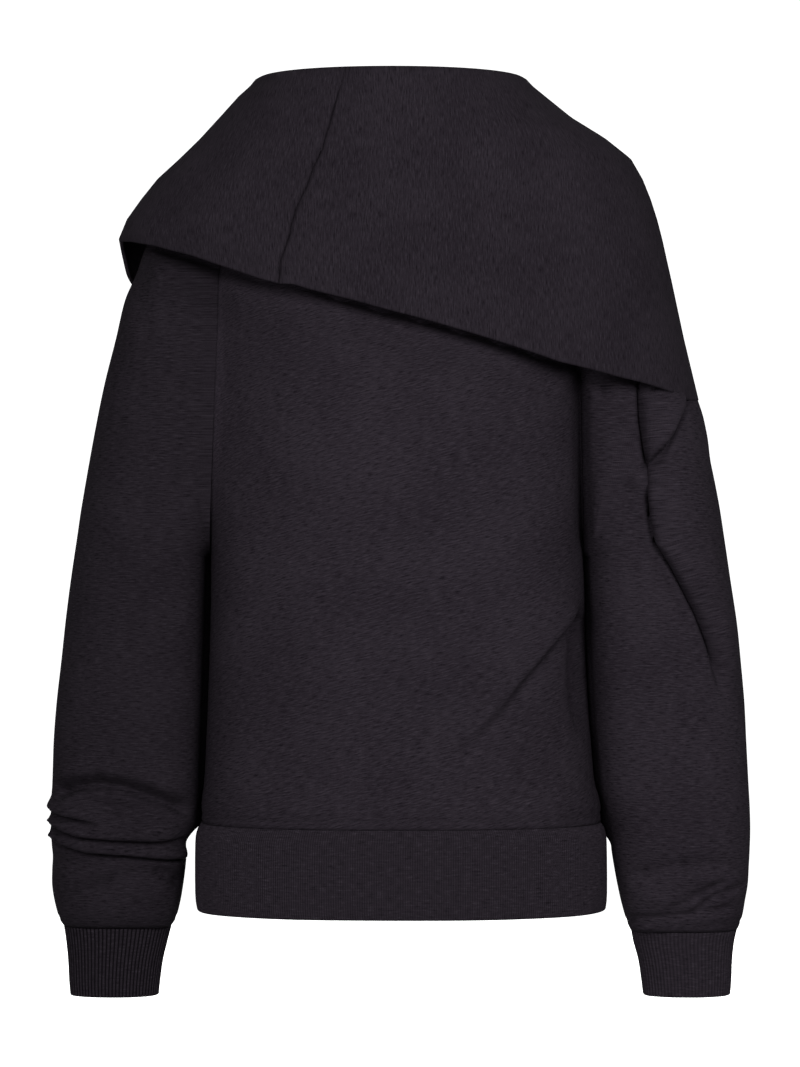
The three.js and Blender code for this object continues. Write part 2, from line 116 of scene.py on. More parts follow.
@dataclass(frozen=True)
class Crease:
    """A soft crease along a path of (x, z) points, lifted when its height is positive.

    left and right are the spreads of its two flanks, right being +x of a path that runs down.
    start and end are the shares of its length over which it fades in and out. overhang is how far
    the lip of a step leans over the cloth on its left, and foot how deep that cloth sinks there.
    """

    path: Path
    height: float
    left: float
    right: float
    side: Side = Side.BACK
    form: Form = Form.RIDGE
    start: float = 0.2
    end: float = 0.3
    overhang: float = 0.0
    foot: float = 0.0


def table_of(kind: type, rows: Sequence[tuple[float, ...]]) -> tuple[Any, ...]:
    """Makes one section of a kind from each row of numbers."""
    return tuple(kind(*row) for row in rows)


def column(sections: Sequence[Any], name: str) -> list[float]:
    """Lists one field of all the sections of a table."""
    return [getattr(section, name) for section in sections]


# Sections of the left sleeve, from the shoulder tip down to the cuff
LEFT_SECTIONS = table_of(SleeveSection, (
    (-150.12, -22, 62), (-184, -38, 63), (-206, -57, 64), (-220, -82, 65), (-229, -108, 65),
    (-239, -131, 65), (-247, -165, 65), (-257, -205, 65), (-266.5, -252, 64),
    (-275.8, -304.5, 63), (-281, -339, 62), (-286.4, -376, 61, -167.5, -366),
    (-290.6, -409, 60, -168.6, -402), (-294.4, -444, 58, -169.6, -440),
    (-298.4, -479, 57, -171, -478), (-301, -513, 55.5, -172.2, -513),
    (-302, -545, 54.5, -173, -546), (-303, -560, 54, -173.5, -562),
    (-303.6, -572, 53.5, -174.4, -574), (-303.8, -582, 53, -175.6, -584),
    (-303.6, -590, 52.5, -180.5, -593), (-303.4, -598, 52, -185.6, -601),
    (-302.6, -606, 51.5, -185.8, -609), (-302, -615, 51, -186, -617),
    (-302.4, -626, 50, -187, -627), (-302.4, -639, 48.5, -188.6, -639),
    (-300.2, -653, 45.5, -191, -653), (-296.4, -667, 40.5, -194.6, -667),
    (-292.4, -674.5, 33.5, -198.6, -674.5),
))
# Sections of the right sleeve, the same way
RIGHT_SECTIONS = table_of(SleeveSection, (
    (150.12, -22, 52), (182, -39, 60), (203, -61, 65), (216, -86, 67), (225, -115, 68),
    (233, -148, 67), (241, -178, 65), (248, -202, 64.4), (253.5, -218, 65.2), (260, -238, 66.6),
    (267.4, -261, 67.6), (276.5, -304.5, 68), (282, -340, 66), (287, -375, 64, 162.8, -368),
    (292, -409, 62, 164.4, -402), (296, -444, 59, 165.6, -440), (299.3, -479, 57, 167.4, -478),
    (301, -513, 56, 169.8, -513), (302.8, -548, 54.5, 172.6, -548), (304, -570, 54, 177, -572),
    (304.5, -590, 53, 182.4, -592), (304, -608, 52, 184, -609), (303.2, -624, 50.5, 186.4, -624),
    (302.4, -638, 49, 189, -638), (300, -652, 46, 192, -652), (297.5, -666, 41, 195.8, -666),
    (293.4, -678, 33.5, 200, -678),
))

# The collar's lower edge as it shows on the back, from left to right
COLLAR_LINE = (
    (-233, -82), (-212, -87), (-178, -97), (-146, -108.5), (-117, -119), (-90, -123), (-74, -128),
    (-40, -137), (3, -148.5), (72, -168), (135, -188), (187, -200), (227, -209.5), (250, -217),
)
# The right armhole, the lines under the collar's edge and the cloth just below them
SEAM_GROOVES = (
    Crease(((154, -180), (155.5, -250), (158, -330), (160, -352)), -17.0, 5, 5, start=0.1, end=0.1),
    Crease(((-225, -84), (-212, -87), (-178, -97), (-146, -108.5)), -16.0, 3.4, 9, start=0.3, end=0.3),
    Crease(((-103, -121), (-74, -128), (-40, -137), (3, -148.5), (72, -168), (135, -188), (187, -200),
            (224, -209), (243, -215.5)),
           -16.0, 3.0, 11, start=0.12, end=0.02),
    Crease(((-150, -107), (-117, -119), (-90, -123)), -6.0, 2.8, 8),
    Crease(((-212, -103), (-178, -112), (-146, -123), (-110, -136), (-74, -142), (-40, -150), (3, -162),
            (72, -181), (135, -201), (187, -213)),
           8.0, 20, 9, start=0.15, end=0.12),
    Crease(((-216, -100), (-178, -111), (-146, -122), (-112, -134)), 9.0, 22, 9, start=0.1, end=0.3),
)

# Creases of the left sleeve: gathers over the cuff, then the hidden side
LEFT_CREASES = (
    Crease(((-305, -574), (-281, -577), (-254, -582)), 5.4, 2.2, 9, form=Form.STEP, start=0.02, end=0.5,
           overhang=4.2, foot=6.4),
    Crease(((-303, -585), (-275, -594), (-246, -596), (-212, -597), (-186, -594)),
           7.6, 2.3, 11, form=Form.STEP, start=0.02, end=0.12, overhang=5.4, foot=7.2),
    Crease(((-303, -598), (-268, -607), (-234, -609), (-202, -613), (-182, -614)),
           6.0, 2.3, 8, form=Form.STEP, start=0.02, end=0.0, overhang=4.6, foot=7.2),
    Crease(((-301, -613), (-282, -617), (-258, -614)), -2.2, 5, 5, start=0.0, end=0.5),
    Crease(((-298, -559), (-278, -551), (-256, -549), (-235, -552), (-210, -561), (-178, -574)),
           -10.0, 4.2, 7.5, start=0.05, end=0.1),
    Crease(((-298, -544), (-256, -536), (-214, -546), (-180, -560)), 4.0, 11, 8, start=0.1, end=0.2),
    Crease(((-272, -563), (-250, -568), (-216, -571)), -2.4, 4.5, 5),
    Crease(((-292, -567), (-246, -580), (-200, -584)), 3.0, 7, 7, start=0.1, end=0.1),
    Crease(((-298, -592), (-240, -602.5), (-190, -606)), 2.0, 4, 4, start=0.1, end=0.1),
    Crease(((-270, -647), (-250, -633), (-225, -625), (-200, -623)), -2.8, 6, 7),
    Crease(((-296, -634), (-266, -626), (-236, -617)), 2.4, 9, 9),
    Crease(((-214, -622), (-197, -628), (-186, -638)), -5.5, 6, 6, start=0.3, end=0.2),
    Crease(((-234, -640), (-214, -646), (-200, -642)), 1.8, 8, 8),
    Crease(((-274, -300), (-236, -330), (-200, -392)), 2.2, 16, 18),
    Crease(((-196, -200), (-204, -300), (-196, -420), (-200, -500)), -2.0, 14, 20),
    Crease(((-303, -580), (-262, -588), (-214, -590), (-184, -588)),
           -5.0, 5, 5, side=Side.FRONT, start=0.0, end=0.0),
    Crease(((-303, -602), (-256, -612), (-212, -606), (-184, -604)),
           -4.5, 4.5, 5, side=Side.FRONT, start=0.1, end=0.0),
    Crease(((-300, -556), (-250, -552), (-196, -566)), 3.4, 12, 10, side=Side.FRONT),
    Crease(((-290, -640), (-250, -628), (-205, -634)), -3.0, 8, 8, side=Side.FRONT),
    Crease(((-260, -260), (-226, -330), (-200, -410)), 3.0, 18, 20, side=Side.FRONT),
)
# Creases of the right sleeve: the two long folds, the wrinkles over the cuff, the hidden side
RIGHT_CREASES = (
    Crease(((204, -190), (205, -237), (208, -265), (211, -288), (214, -320), (218.5, -341), (234, -365),
            (254, -402), (268, -436), (276, -456), (284, -478)),
           11.0, 3.0, 44, form=Form.STEP, start=0.0, end=0.2, overhang=9.0, foot=12.0),
    Crease(((213, -301), (215.5, -290), (218, -279), (222, -267), (227.5, -254), (233, -241), (239, -228),
            (246, -214)),
           8.5, 2.4, 22, form=Form.STEP, start=0.1, end=0.05, overhang=4.0, foot=7.0),
    Crease(((196, -300), (204, -340), (222, -372), (238, -400), (252, -436)),
           -2.6, 10, 5, start=0.4, end=0.3),
    Crease(((190, -634), (230, -621), (262, -618), (298, -622)), -4.0, 7, 8),
    Crease(((225, -661), (265, -640), (298, -625)), -3.6, 4, 4.5),
    Crease(((249, -660), (275, -645), (300, -637)), -4.0, 3.2, 4.5, end=0.0),
    Crease(((194, -666), (227, -665), (254, -661), (293, -655)), -4.6, 3.2, 3.2, start=0.0, end=0.15),
    Crease(((205, -646), (236, -650), (262, -652)), 1.8, 6, 6),
    Crease(((240, -628), (272, -632), (298, -630)), 1.6, 4, 4),
    Crease(((184, -560), (192, -600), (204, -640)), -1.8, 10, 14),
    Crease(((176, -400), (186, -470), (182, -540)), 1.8, 16, 20),
    Crease(((206, -210), (205, -280), (214, -334), (240, -384), (262, -440)),
           6.5, 4, 55, side=Side.FRONT, form=Form.STEP, start=0.05, end=0.3),
    Crease(((190, -604), (244, -614), (300, -604)), -3.4, 7, 8, side=Side.FRONT),
    Crease(((196, -640), (240, -634), (292, -646)), -2.6, 5, 6, side=Side.FRONT),
    Crease(((184, -300), (200, -400), (196, -500)), 2.4, 18, 20, side=Side.FRONT),
)

# Sections of the ribbed bands, from the seam down
HEM_SECTIONS = table_of(Section, (
    (-583.62, -172.5, 174.5, 118.0), (-590.0, -176.0, 178.0, 119.0),
    (-602.0, -178.2, 179.2, 119.5), (-645.0, -178.5, 179.3, 119.5),
    (-658.2, -177.0, 178.0, 118.5),
))
LEFT_CUFF_SECTIONS = table_of(Section, (
    (-674.62, -292.2, -198.8, 33.0), (-687.0, -290.4, -202.0, 31.0),
    (-704.0, -288.8, -206.2, 29.0), (-722.0, -288.0, -208.8, 28.0),
    (-733.2, -287.0, -210.0, 28.0),
))
RIGHT_CUFF_SECTIONS = table_of(Section, (
    (-678.12, 201.0, 292.8, 33.0), (-689.0, 203.0, 290.4, 31.0), (-704.0, 207.0, 288.8, 29.0),
    (-722.0, 209.7, 288.0, 28.0), (-733.2, 211.0, 287.0, 28.0),
))


def smooth_step(low: float, high: float, value: Array) -> Array:
    """Rises from 0 at low to 1 at high along 3t^2 - 2t^3."""
    t = np.clip((value - low) / (high - low), 0.0, 1.0)
    return t * t * (3.0 - 2.0 * t)


def bell(distance: Array, spread: float) -> Array:
    """Falls from 1 along exp(-(distance / spread)^2)."""
    return np.exp(-((distance / spread) ** 2))


def power(value: Array, exponent: float) -> Array:
    """Raises the size of a value to a power and keeps its sign."""
    return np.sign(value) * np.abs(value) ** exponent


def unit(vectors: Array) -> Array:
    """Scales each vector to length one."""
    return vectors / np.maximum(np.linalg.norm(vectors, axis=-1, keepdims=True), 1e-12)


def look_up(at: Array, keys: Sequence[float], values: Sequence[float]) -> Array:
    """Interpolates a table's column in straight lines.

    Args:
        at: where to read the table.
        keys: the column that at refers to, rising or falling.
        values: the column to read.

    Returns:
        The values at those places.
    """
    order = np.argsort(keys)
    return np.interp(at, np.asarray(keys, float)[order], np.asarray(values, float)[order])


def read_levels(sections: Sequence[Section], height: Array) -> tuple[Array, ...]:
    """Left end, right end and depth of a table of sections at some heights."""
    heights = column(sections, "height")
    return tuple(look_up(height, heights, column(sections, n)) for n in ("left", "right", "depth"))


def along_rows(values: Sequence[float], place: Array) -> Array:
    """Reads a table's column at fractional rows, on a Catmull-Rom curve through its values.

    Args:
        values: the column.
        place: row numbers, with fractions.

    Returns:
        The values at those rows.
    """
    table = np.asarray(values, float)
    last = len(table) - 1
    index = np.clip(np.floor(place).astype(int), 0, last - 1)
    t = place - index
    a, b, c, d = (table[np.clip(index + step, 0, last)] for step in (-1, 0, 1, 2))
    slope, next_slope, rise = (c - a) / 2, (d - b) / 2, c - b
    square, cube = 3 * rise - 2 * slope - next_slope, slope + next_slope - 2 * rise
    return b + t * (slope + t * (square + t * cube))


def surface_normals(points: Array, closed: bool) -> Array:
    """Unit normals of a grid of points: the cross product of its two central differences.

    They are turned to point away from the middle of the grid on the whole.

    Args:
        points: rows, columns and coordinates.
        closed: whether the last column joins the first.

    Returns:
        A unit vector for each point.
    """
    if closed:
        around = np.roll(points, -1, axis=1) - np.roll(points, 1, axis=1)
    else:
        around = np.gradient(points, axis=1)
    normals = unit(np.cross(around, np.gradient(points, axis=0)))
    outward = np.sum(normals * (points - points.mean(axis=(0, 1))))
    return normals if outward > 0 else -normals


def crease_field(
    creases: Sequence[Crease], side: Side, x: Array, z: Array
) -> tuple[Array, Array]:
    """How far the creases of one side lift the cloth and shift it along its surface.

    Each point takes its distance to the nearest segment of the path. A ridge's lift is its height
    times exp(-(distance / spread)^2). A step rises smoothly over its left spread and falls
    away over its right one. Its lip moves left by the overhang times another such bell, so that
    the cloth folds back under it. All fade in and out along the path.

    Args:
        creases: the creases of the piece.
        side: the side that the points lie on.
        x: across, in millimetres.
        z: up, in millimetres.

    Returns:
        The lift, and the shift in x and z, in millimetres.
    """
    lift = np.zeros_like(x)
    shift = np.zeros((*x.shape, 2))
    for crease in creases:
        if crease.side is not side:
            continue
        nodes = np.asarray(crease.path, float)
        lengths = np.linalg.norm(np.diff(nodes, axis=0), axis=1)
        passed = np.concatenate([[0.0], np.cumsum(lengths)])
        nearest = np.full_like(x, np.inf)
        beside, share = np.ones_like(x), np.zeros_like(x)
        right_x, right_z = np.zeros_like(x), np.zeros_like(x)
        for (ax, az), (bx, bz), length, before in zip(nodes[:-1], nodes[1:], lengths, passed[:-1]):
            dx, dz = bx - ax, bz - az
            t = np.clip(((x - ax) * dx + (z - az) * dz) / length**2, 0.0, 1.0)
            distance = np.hypot(x - ax - dx * t, z - az - dz * t)
            closer = distance < nearest
            nearest = np.where(closer, distance, nearest)
            beside = np.where(closer, np.where((z - az) * dx - (x - ax) * dz > 0, 1.0, -1.0), beside)
            share = np.where(closer, (before + t * length) / passed[-1], share)
            right_x = np.where(closer, -dz / length, right_x)
            right_z = np.where(closer, dx / length, right_z)
        ends = smooth_step(-0.02, crease.start, share) * smooth_step(-0.02, crease.end, 1.0 - share)
        if crease.form is Form.RIDGE:
            spread = np.where(beside > 0, crease.right, crease.left)
            lift += crease.height * ends * bell(nearest, spread)
            continue
        lean = crease.overhang * ends
        signed = nearest * beside - np.maximum(0.95 * lean - 0.5 * crease.left, 0.0)
        rise = smooth_step(-crease.left, crease.left, signed)
        lift += crease.height * ends * rise * bell(np.maximum(signed, 0.0), crease.right)
        lift -= crease.foot * ends * bell(signed + 1.2 * crease.left, 1.5 * crease.left)
        lip = lean * bell(signed - 0.6 * crease.left, 1.6 * crease.left)
        shift -= np.stack([right_x * lip, right_z * lip], axis=-1)
    return lift, shift


def shifted(base: Array, shift: Array) -> Array:
    """Moves the x and z of a grid of points in metres by millimetres."""
    return base + np.stack([shift[..., 0], np.zeros(shift.shape[:2]), shift[..., 1]], axis=-1) * MM


def cloth_waves(x: Array, z: Array, side: Side, size: float) -> Array:
    """Slow uneven waves of hanging cloth: a sum of five sine waves of unequal lengths and slants.

    Args:
        x: across, in millimetres.
        z: up, in millimetres.
        side: the side that the points lie on.
        size: the largest lift.

    Returns:
        The lift.
    """
    shift = 1.7 * side.value
    waves = (
        (0.031, 0.012, 0.4), (0.017, -0.029, 2.1), (0.047, 0.021, 4.0), (-0.026, 0.041, 5.2),
        (0.063, -0.008, 1.1),
    )
    total = sum(np.sin(kx * x + kz * z + phase + shift) for kx, kz, phase in waves)
    return size * total / len(waves)


def below_collar(x: Array, z: Array) -> Array:
    """From 0.3 above the collar's edge up to 1 some 15 mm below it."""
    edge_x, edge_z = zip(*COLLAR_LINE)
    return 0.3 + 0.7 * smooth_step(4.0, -15.0, z - np.interp(x, edge_x, edge_z))


def stitch_dip(above: Array, depth: float) -> Array:
    """The trench that the topstitching draws into the cloth, at heights above its seam."""
    return depth * bell(above - STITCH_HEIGHT, STITCH_SPREAD)


def groove_depth(x: Array, z: Array) -> Array:
    """How far the back sinks under the collar's edge and at the right armhole, in millimetres."""
    return -crease_field(SEAM_GROOVES, Side.BACK, x, z)[0]


def blurred(values: Array, times: int, closed: bool) -> Array:
    """Averages each value with its four neighbours, many times over.

    Args:
        values: a grid.
        times: how many times.
        closed: whether the last column joins the first.

    Returns:
        The calmer grid.
    """
    for _ in range(times):
        rows = np.pad(values, ((1, 1), (0, 0)), mode="edge")
        columns = np.pad(values, ((0, 0), (1, 1)), mode="wrap" if closed else "edge")
        values = (rows[:-2] + rows[2:] + columns[:, :-2] + columns[:, 2:] + 2 * values) / 6
    return values


def arc_grain(points: Array, closed: bool) -> Array:
    """Cloth coordinates of a grid, in metres: the length across from the middle and the length up.

    Across is the running length of the average row, up that of the average column.

    Args:
        points: rows, columns and coordinates; a closed grid gets one column more.
        closed: whether the last column joins the first.

    Returns:
        Two numbers for each point.
    """
    whole = np.concatenate([points, points[:, :1]], axis=1) if closed else points
    steps = np.linalg.norm(np.diff(whole, axis=1), axis=2)
    across = np.concatenate([np.zeros((len(whole), 1)), np.cumsum(steps, axis=1)], axis=1)
    across = across.mean(axis=0)[None, :] + np.zeros((len(whole), 1))
    climbs = np.linalg.norm(np.diff(whole, axis=0), axis=2).mean(axis=1)
    up = np.concatenate([[0.0], np.cumsum(climbs)])[:, None] + np.zeros_like(across)
    return np.stack([across - across.mean(), up], axis=-1)


def level_grain(points: Array, start: int) -> Array:
    """Cloth coordinates of a closed grid, in metres: the level length round each row, and z.

    Args:
        points: rows, columns and coordinates.
        start: the column that the length is measured from.

    Returns:
        Two numbers for each point, with one column more.
    """
    whole = np.concatenate([points, points[:, :1]], axis=1)
    steps = np.hypot(*np.moveaxis(np.diff(whole[..., :2], axis=1), -1, 0))
    across = np.concatenate([np.zeros((len(whole), 1)), np.cumsum(steps, axis=1)], axis=1)
    return np.stack([across - across[:, start : start + 1], whole[..., 2]], axis=-1)


@dataclass
class Wall:
    """A closed thin wall of cloth on a grid of points.

    lift and thickness are in metres, shift moves x and z in millimetres. closed joins the last
    column to the first. rims are how far the two row ends reach out: half a thickness rounds a
    free edge, and next to nothing keeps a seam. The inner grid has one row for each inner_step
    outer ones. grain holds the cloth coordinates, where they aren't the plain running lengths.
    level keeps the normals level, so that the row ends stay at their heights.
    """

    name: str
    base: Array
    lift: Array
    thickness: float
    closed: bool
    rims: tuple[float, float]
    inner_step: int = 2
    shift: Array | None = None
    grain: Array | None = None
    level: bool = False

    def outside(self) -> tuple[Array, Array]:
        """Moves the base along its normals by the lift, and then by the shift.

        Returns:
            The outer grid and the normals.
        """
        normals = surface_normals(self.base, self.closed)
        if self.level:
            normals = unit(normals * np.array([1.0, 1.0, 0.0]))
        outer = self.base + normals * self.lift[..., None]
        return (outer if self.shift is None else shifted(outer, self.shift)), normals

    def build(self) -> bpy.types.Object:
        """Makes the mesh object.

        The outer grid is the base moved along its normals by the lift. The inner grid has fewer
        rows and follows a blurred lift, a thickness further in. Half ellipses join the row ends,
        and flat faces close the side edges of an open piece.

        Returns:
            The new object, linked to the scene.
        """
        outer, normals = self.outside()
        calm = np.minimum(blurred(self.lift, 14, self.closed), self.lift)
        inside = self.base + normals * (calm - self.thickness)[..., None]
        last = len(outer) - 1
        kept = np.unique(np.append(np.arange(0, last + 1, self.inner_step), last))
        turn = np.pi * np.arange(1, RIM_STEPS) / RIM_STEPS
        start_rim = self._rim(outer[0], inside[0], outer[0] - outer[1], self.rims[0], turn[::-1])
        end_away = outer[last] - outer[last - 1]
        end_rim = self._rim(outer[last], inside[last], end_away, self.rims[1], turn)
        grid = np.concatenate([outer, end_rim, inside[kept][::-1], start_rim])
        grain = arc_grain(self.base, self.closed) if self.grain is None else self.grain
        edge = np.ones((RIM_STEPS - 1, 1, 1))
        grains = np.concatenate([grain, grain[last:] * edge, grain[kept][::-1], grain[:1] * edge])
        faces, corners = self._faces(len(grid), grid.shape[1], last, kept)
        return self._object(grid.reshape(-1, 3), faces, corners, grains)

    @staticmethod
    def _rim(outer: Array, inner: Array, away: Array, reach: float, turn: Array) -> Array:
        """Half ellipses from an outer edge to an inner one, reaching out past them.

        Args:
            outer: the outer edge.
            inner: the inner edge.
            away: the direction past the edges.
            reach: how far they go past.
            turn: angles along the half ellipse.

        Returns:
            One row of points for each angle.
        """
        middle, half = (outer + inner) / 2, (outer - inner) / 2
        swing = turn[:, None, None]
        return middle + half * np.cos(swing) + unit(away) * reach * np.sin(swing)

    def _faces(
        self, rows: int, columns: int, last: int, kept: NDArray
    ) -> tuple[list[Array], list[Array]]:
        """Lists the faces as arrays of vertex numbers, and where their corners lie in the grain.

        Args:
            rows: rows of the whole loop, round both rims.
            columns: points in a row.
            last: the last row of the outer grid.
            kept: the outer rows that the inner grid has.

        Returns:
            Vertex numbers, and corner numbers in the grain grid, one array for each kind of face.
        """
        across = columns if self.closed else columns - 1
        grain_width = across + 1
        row, column = np.meshgrid(np.arange(rows), np.arange(across), indexing="ij")
        row, column = row.ravel(), column.ravel()
        after = (row + 1) % rows
        turns = ((row, column), (row, column + 1), (after, column + 1), (after, column))
        vertex = np.stack([r * columns + c % columns for r, c in turns], axis=1)
        corner = np.stack([r * grain_width + c for r, c in turns], axis=1)
        vertices, corners = [vertex], [corner]
        if not self.closed:
            inner = last + RIM_STEPS + np.arange(len(kept))[::-1]
            caps = [
                [*range(kept[k], kept[k + 1] + 1), inner[k + 1], inner[k]] for k in range(len(kept) - 1)
            ]
            caps.append([*range(last, last + RIM_STEPS + 1)])
            caps.append([*range(rows - RIM_STEPS, rows), 0])
            for cap in caps:
                ring = np.asarray(cap)
                for column_at, order in ((0, ring), (across, ring[::-1])):
                    vertices.append((order * columns + column_at)[None, :])
                    corners.append((order * grain_width + column_at)[None, :])
        return vertices, corners

    def _object(
        self, points: Array, faces: list[Array], corners: list[Array], grains: Array
    ) -> bpy.types.Object:
        """Puts points, faces and grain coordinates into a mesh with its faces turned outwards.

        Args:
            points: all the points of the wall.
            faces: vertex numbers, one array for each kind of face.
            corners: numbers of the faces' corners in the grain grid, the same way.
            grains: the grain grid.

        Returns:
            The new object.
        """
        quads = faces[0]
        a, b, c, d = (points[quads[:, k]] for k in range(4))
        volume = np.sum(a * np.cross(b, c)) + np.sum(a * np.cross(c, d))
        if volume < 0:
            faces = [part[:, ::-1] for part in faces]
            corners = [part[:, ::-1] for part in corners]
        totals = np.concatenate([np.full(len(part), part.shape[1]) for part in faces])
        loops = np.concatenate([part.ravel() for part in faces]).astype(np.int32)
        places = grains.reshape(-1, 2)[np.concatenate([part.ravel() for part in corners])]
        mesh = bpy.data.meshes.new(self.name)
        mesh.vertices.add(len(points))
        mesh.vertices.foreach_set("co", points.astype(np.float32).ravel())
        mesh.loops.add(len(loops))
        mesh.loops.foreach_set("vertex_index", loops)
        mesh.polygons.add(len(totals))
        starts = np.concatenate([[0], np.cumsum(totals)[:-1]]).astype(np.int32)
        mesh.polygons.foreach_set("loop_start", starts)
        mesh.polygons.foreach_set("use_smooth", np.ones(len(totals), bool))
        mesh.uv_layers.new(name=GRAIN).data.foreach_set("uv", places.astype(np.float32).ravel())
        mesh.update(calc_edges=True)
        mesh.validate()
        obj = bpy.data.objects.new(self.name, mesh)
        bpy.context.scene.collection.objects.link(obj)
        return obj


def plain_mesh(name: str, points: Array, faces: list[list[int]]) -> bpy.types.Object:
    """Makes a smooth mesh object.

    Args:
        name: name of the object and of its mesh.
        points: its points, in any grid.
        faces: vertex numbers of each face.

    Returns:
        The new object, linked to the scene.
    """
    mesh = bpy.data.meshes.new(name)
    mesh.from_pydata(points.reshape(-1, 3).tolist(), [], faces)
    mesh.polygons.foreach_set("use_smooth", np.ones(len(faces), bool))
    mesh.update()
    obj = bpy.data.objects.new(name, mesh)
    bpy.context.scene.collection.objects.link(obj)
    return obj


@dataclass(frozen=True)
class Thread:
    """Lock stitches along a line: each is a small spindle laid on the cloth. Sizes in metres."""

    length: float = 2.6 * MM
    pitch: float = 3.5 * MM
    radius: float = 0.28 * MM
    sides: int = 6

    def build(self, name: str, line: Array, normals: Array) -> bpy.types.Object:
        """Makes all the stitches of a line as one mesh.

        Ring k of a stitch has its middle at share s of the length and the radius
        times sin(pi s)^0.5; the rings turn round the stitch's own direction.

        Args:
            name: name of the object.
            line: points along the seam.
            normals: the cloth's outward direction at those points.

        Returns:
            The new object.
        """
        steps = np.concatenate([[0.0], np.cumsum(np.linalg.norm(np.diff(line, axis=0), axis=1))])
        starts = np.arange(self.pitch / 2, steps[-1] - self.length, self.pitch)
        shares = np.array([0.0, 0.12, 0.5, 0.88, 1.0])
        at = starts[:, None] + shares[None, :] * self.length
        middle = np.stack([np.interp(at, steps, line[:, k]) for k in range(3)], axis=-1)
        up = unit(np.stack([np.interp(at, steps, normals[:, k]) for k in range(3)], axis=-1))
        forward = unit(middle[:, -1:] - middle[:, :1]) + np.zeros_like(middle)
        aside = unit(np.cross(up, forward))
        swell = self.radius * np.sqrt(np.maximum(np.sin(np.pi * shares), 0.02))
        turn = 2 * np.pi * np.arange(self.sides) / self.sides
        across, rise = (wave(turn)[None, None, :, None] for wave in (np.cos, np.sin))
        ring = aside[:, :, None] * across + up[:, :, None] * rise
        points = middle[:, :, None] + ring * swell[None, :, None, None]
        count, rings = len(starts), len(shares)
        numbers = (np.arange(size) for size in (count, rings - 1, self.sides))
        s, r, t = np.meshgrid(*numbers, indexing="ij")
        after = (t + 1) % self.sides

        def number(row: Array, side: Array) -> Array:
            """Vertex number of a ring's side."""
            return ((s * rings + row) * self.sides + side).ravel()

        corners = (number(r, t), number(r, after), number(r + 1, after), number(r + 1, t))
        quads = np.stack(corners, axis=1)
        first = (np.arange(count)[:, None] * rings) * self.sides + np.arange(self.sides)[None, :]
        final = first + (rings - 1) * self.sides
        faces = [*quads.tolist(), *first[:, ::-1].tolist(), *final.tolist()]
        return plain_mesh(name, points, faces)


class Maths:
    """A shader socket or a plain number, with operators that add Math nodes."""

    def __init__(self, tree: "Nodes", value: Any) -> None:
        """Keeps the tree that new nodes go in, and the socket or number."""
        self.tree = tree
        self.value = value

    def _join(self, operation: str, *others: Any) -> "Maths":
        """Adds one Math node.

        Args:
            operation: what it does.
            others: the values that follow this one.

        Returns:
            Its result.
        """
        values = dict(enumerate([self.value, *(getattr(o, "value", o) for o in others)]))
        node = self.tree.add("ShaderNodeMath", {"operation": operation}, values)
        return Maths(self.tree, node.outputs[0])

    def _swap(self, operation: str, other: Any) -> "Maths":
        """Adds one Math node with the other value first."""
        return Maths(self.tree, getattr(other, "value", other))._join(operation, self)

    def __add__(self, other: Any) -> "Maths":
        """Adds."""
        return self._join("ADD", other)

    __radd__ = __add__

    def __mul__(self, other: Any) -> "Maths":
        """Multiplies."""
        return self._join("MULTIPLY", other)

    __rmul__ = __mul__

    def __sub__(self, other: Any) -> "Maths":
        """Subtracts."""
        return self._join("SUBTRACT", other)

    def __rsub__(self, other: Any) -> "Maths":
        """Subtracts from."""
        return self._swap("SUBTRACT", other)

    def __truediv__(self, other: Any) -> "Maths":
        """Divides."""
        return self._join("DIVIDE", other)

    def sine(self) -> "Maths":
        """Sine."""
        return self._join("SINE")

    def fit(self, low: float, high: float) -> "Maths":
        """Maps a range onto 0 to 1, smoothly and clamped.

        Args:
            low: the value that becomes 0.
            high: the value that becomes 1.

        Returns:
            The mapped value.
        """
        inputs = {"Value": self.value, "From Min": low, "From Max": high}
        settings = {"interpolation_type": "SMOOTHSTEP", "clamp": True}
        node = self.tree.add("ShaderNodeMapRange", settings, inputs)
        return Maths(self.tree, node.outputs[0])


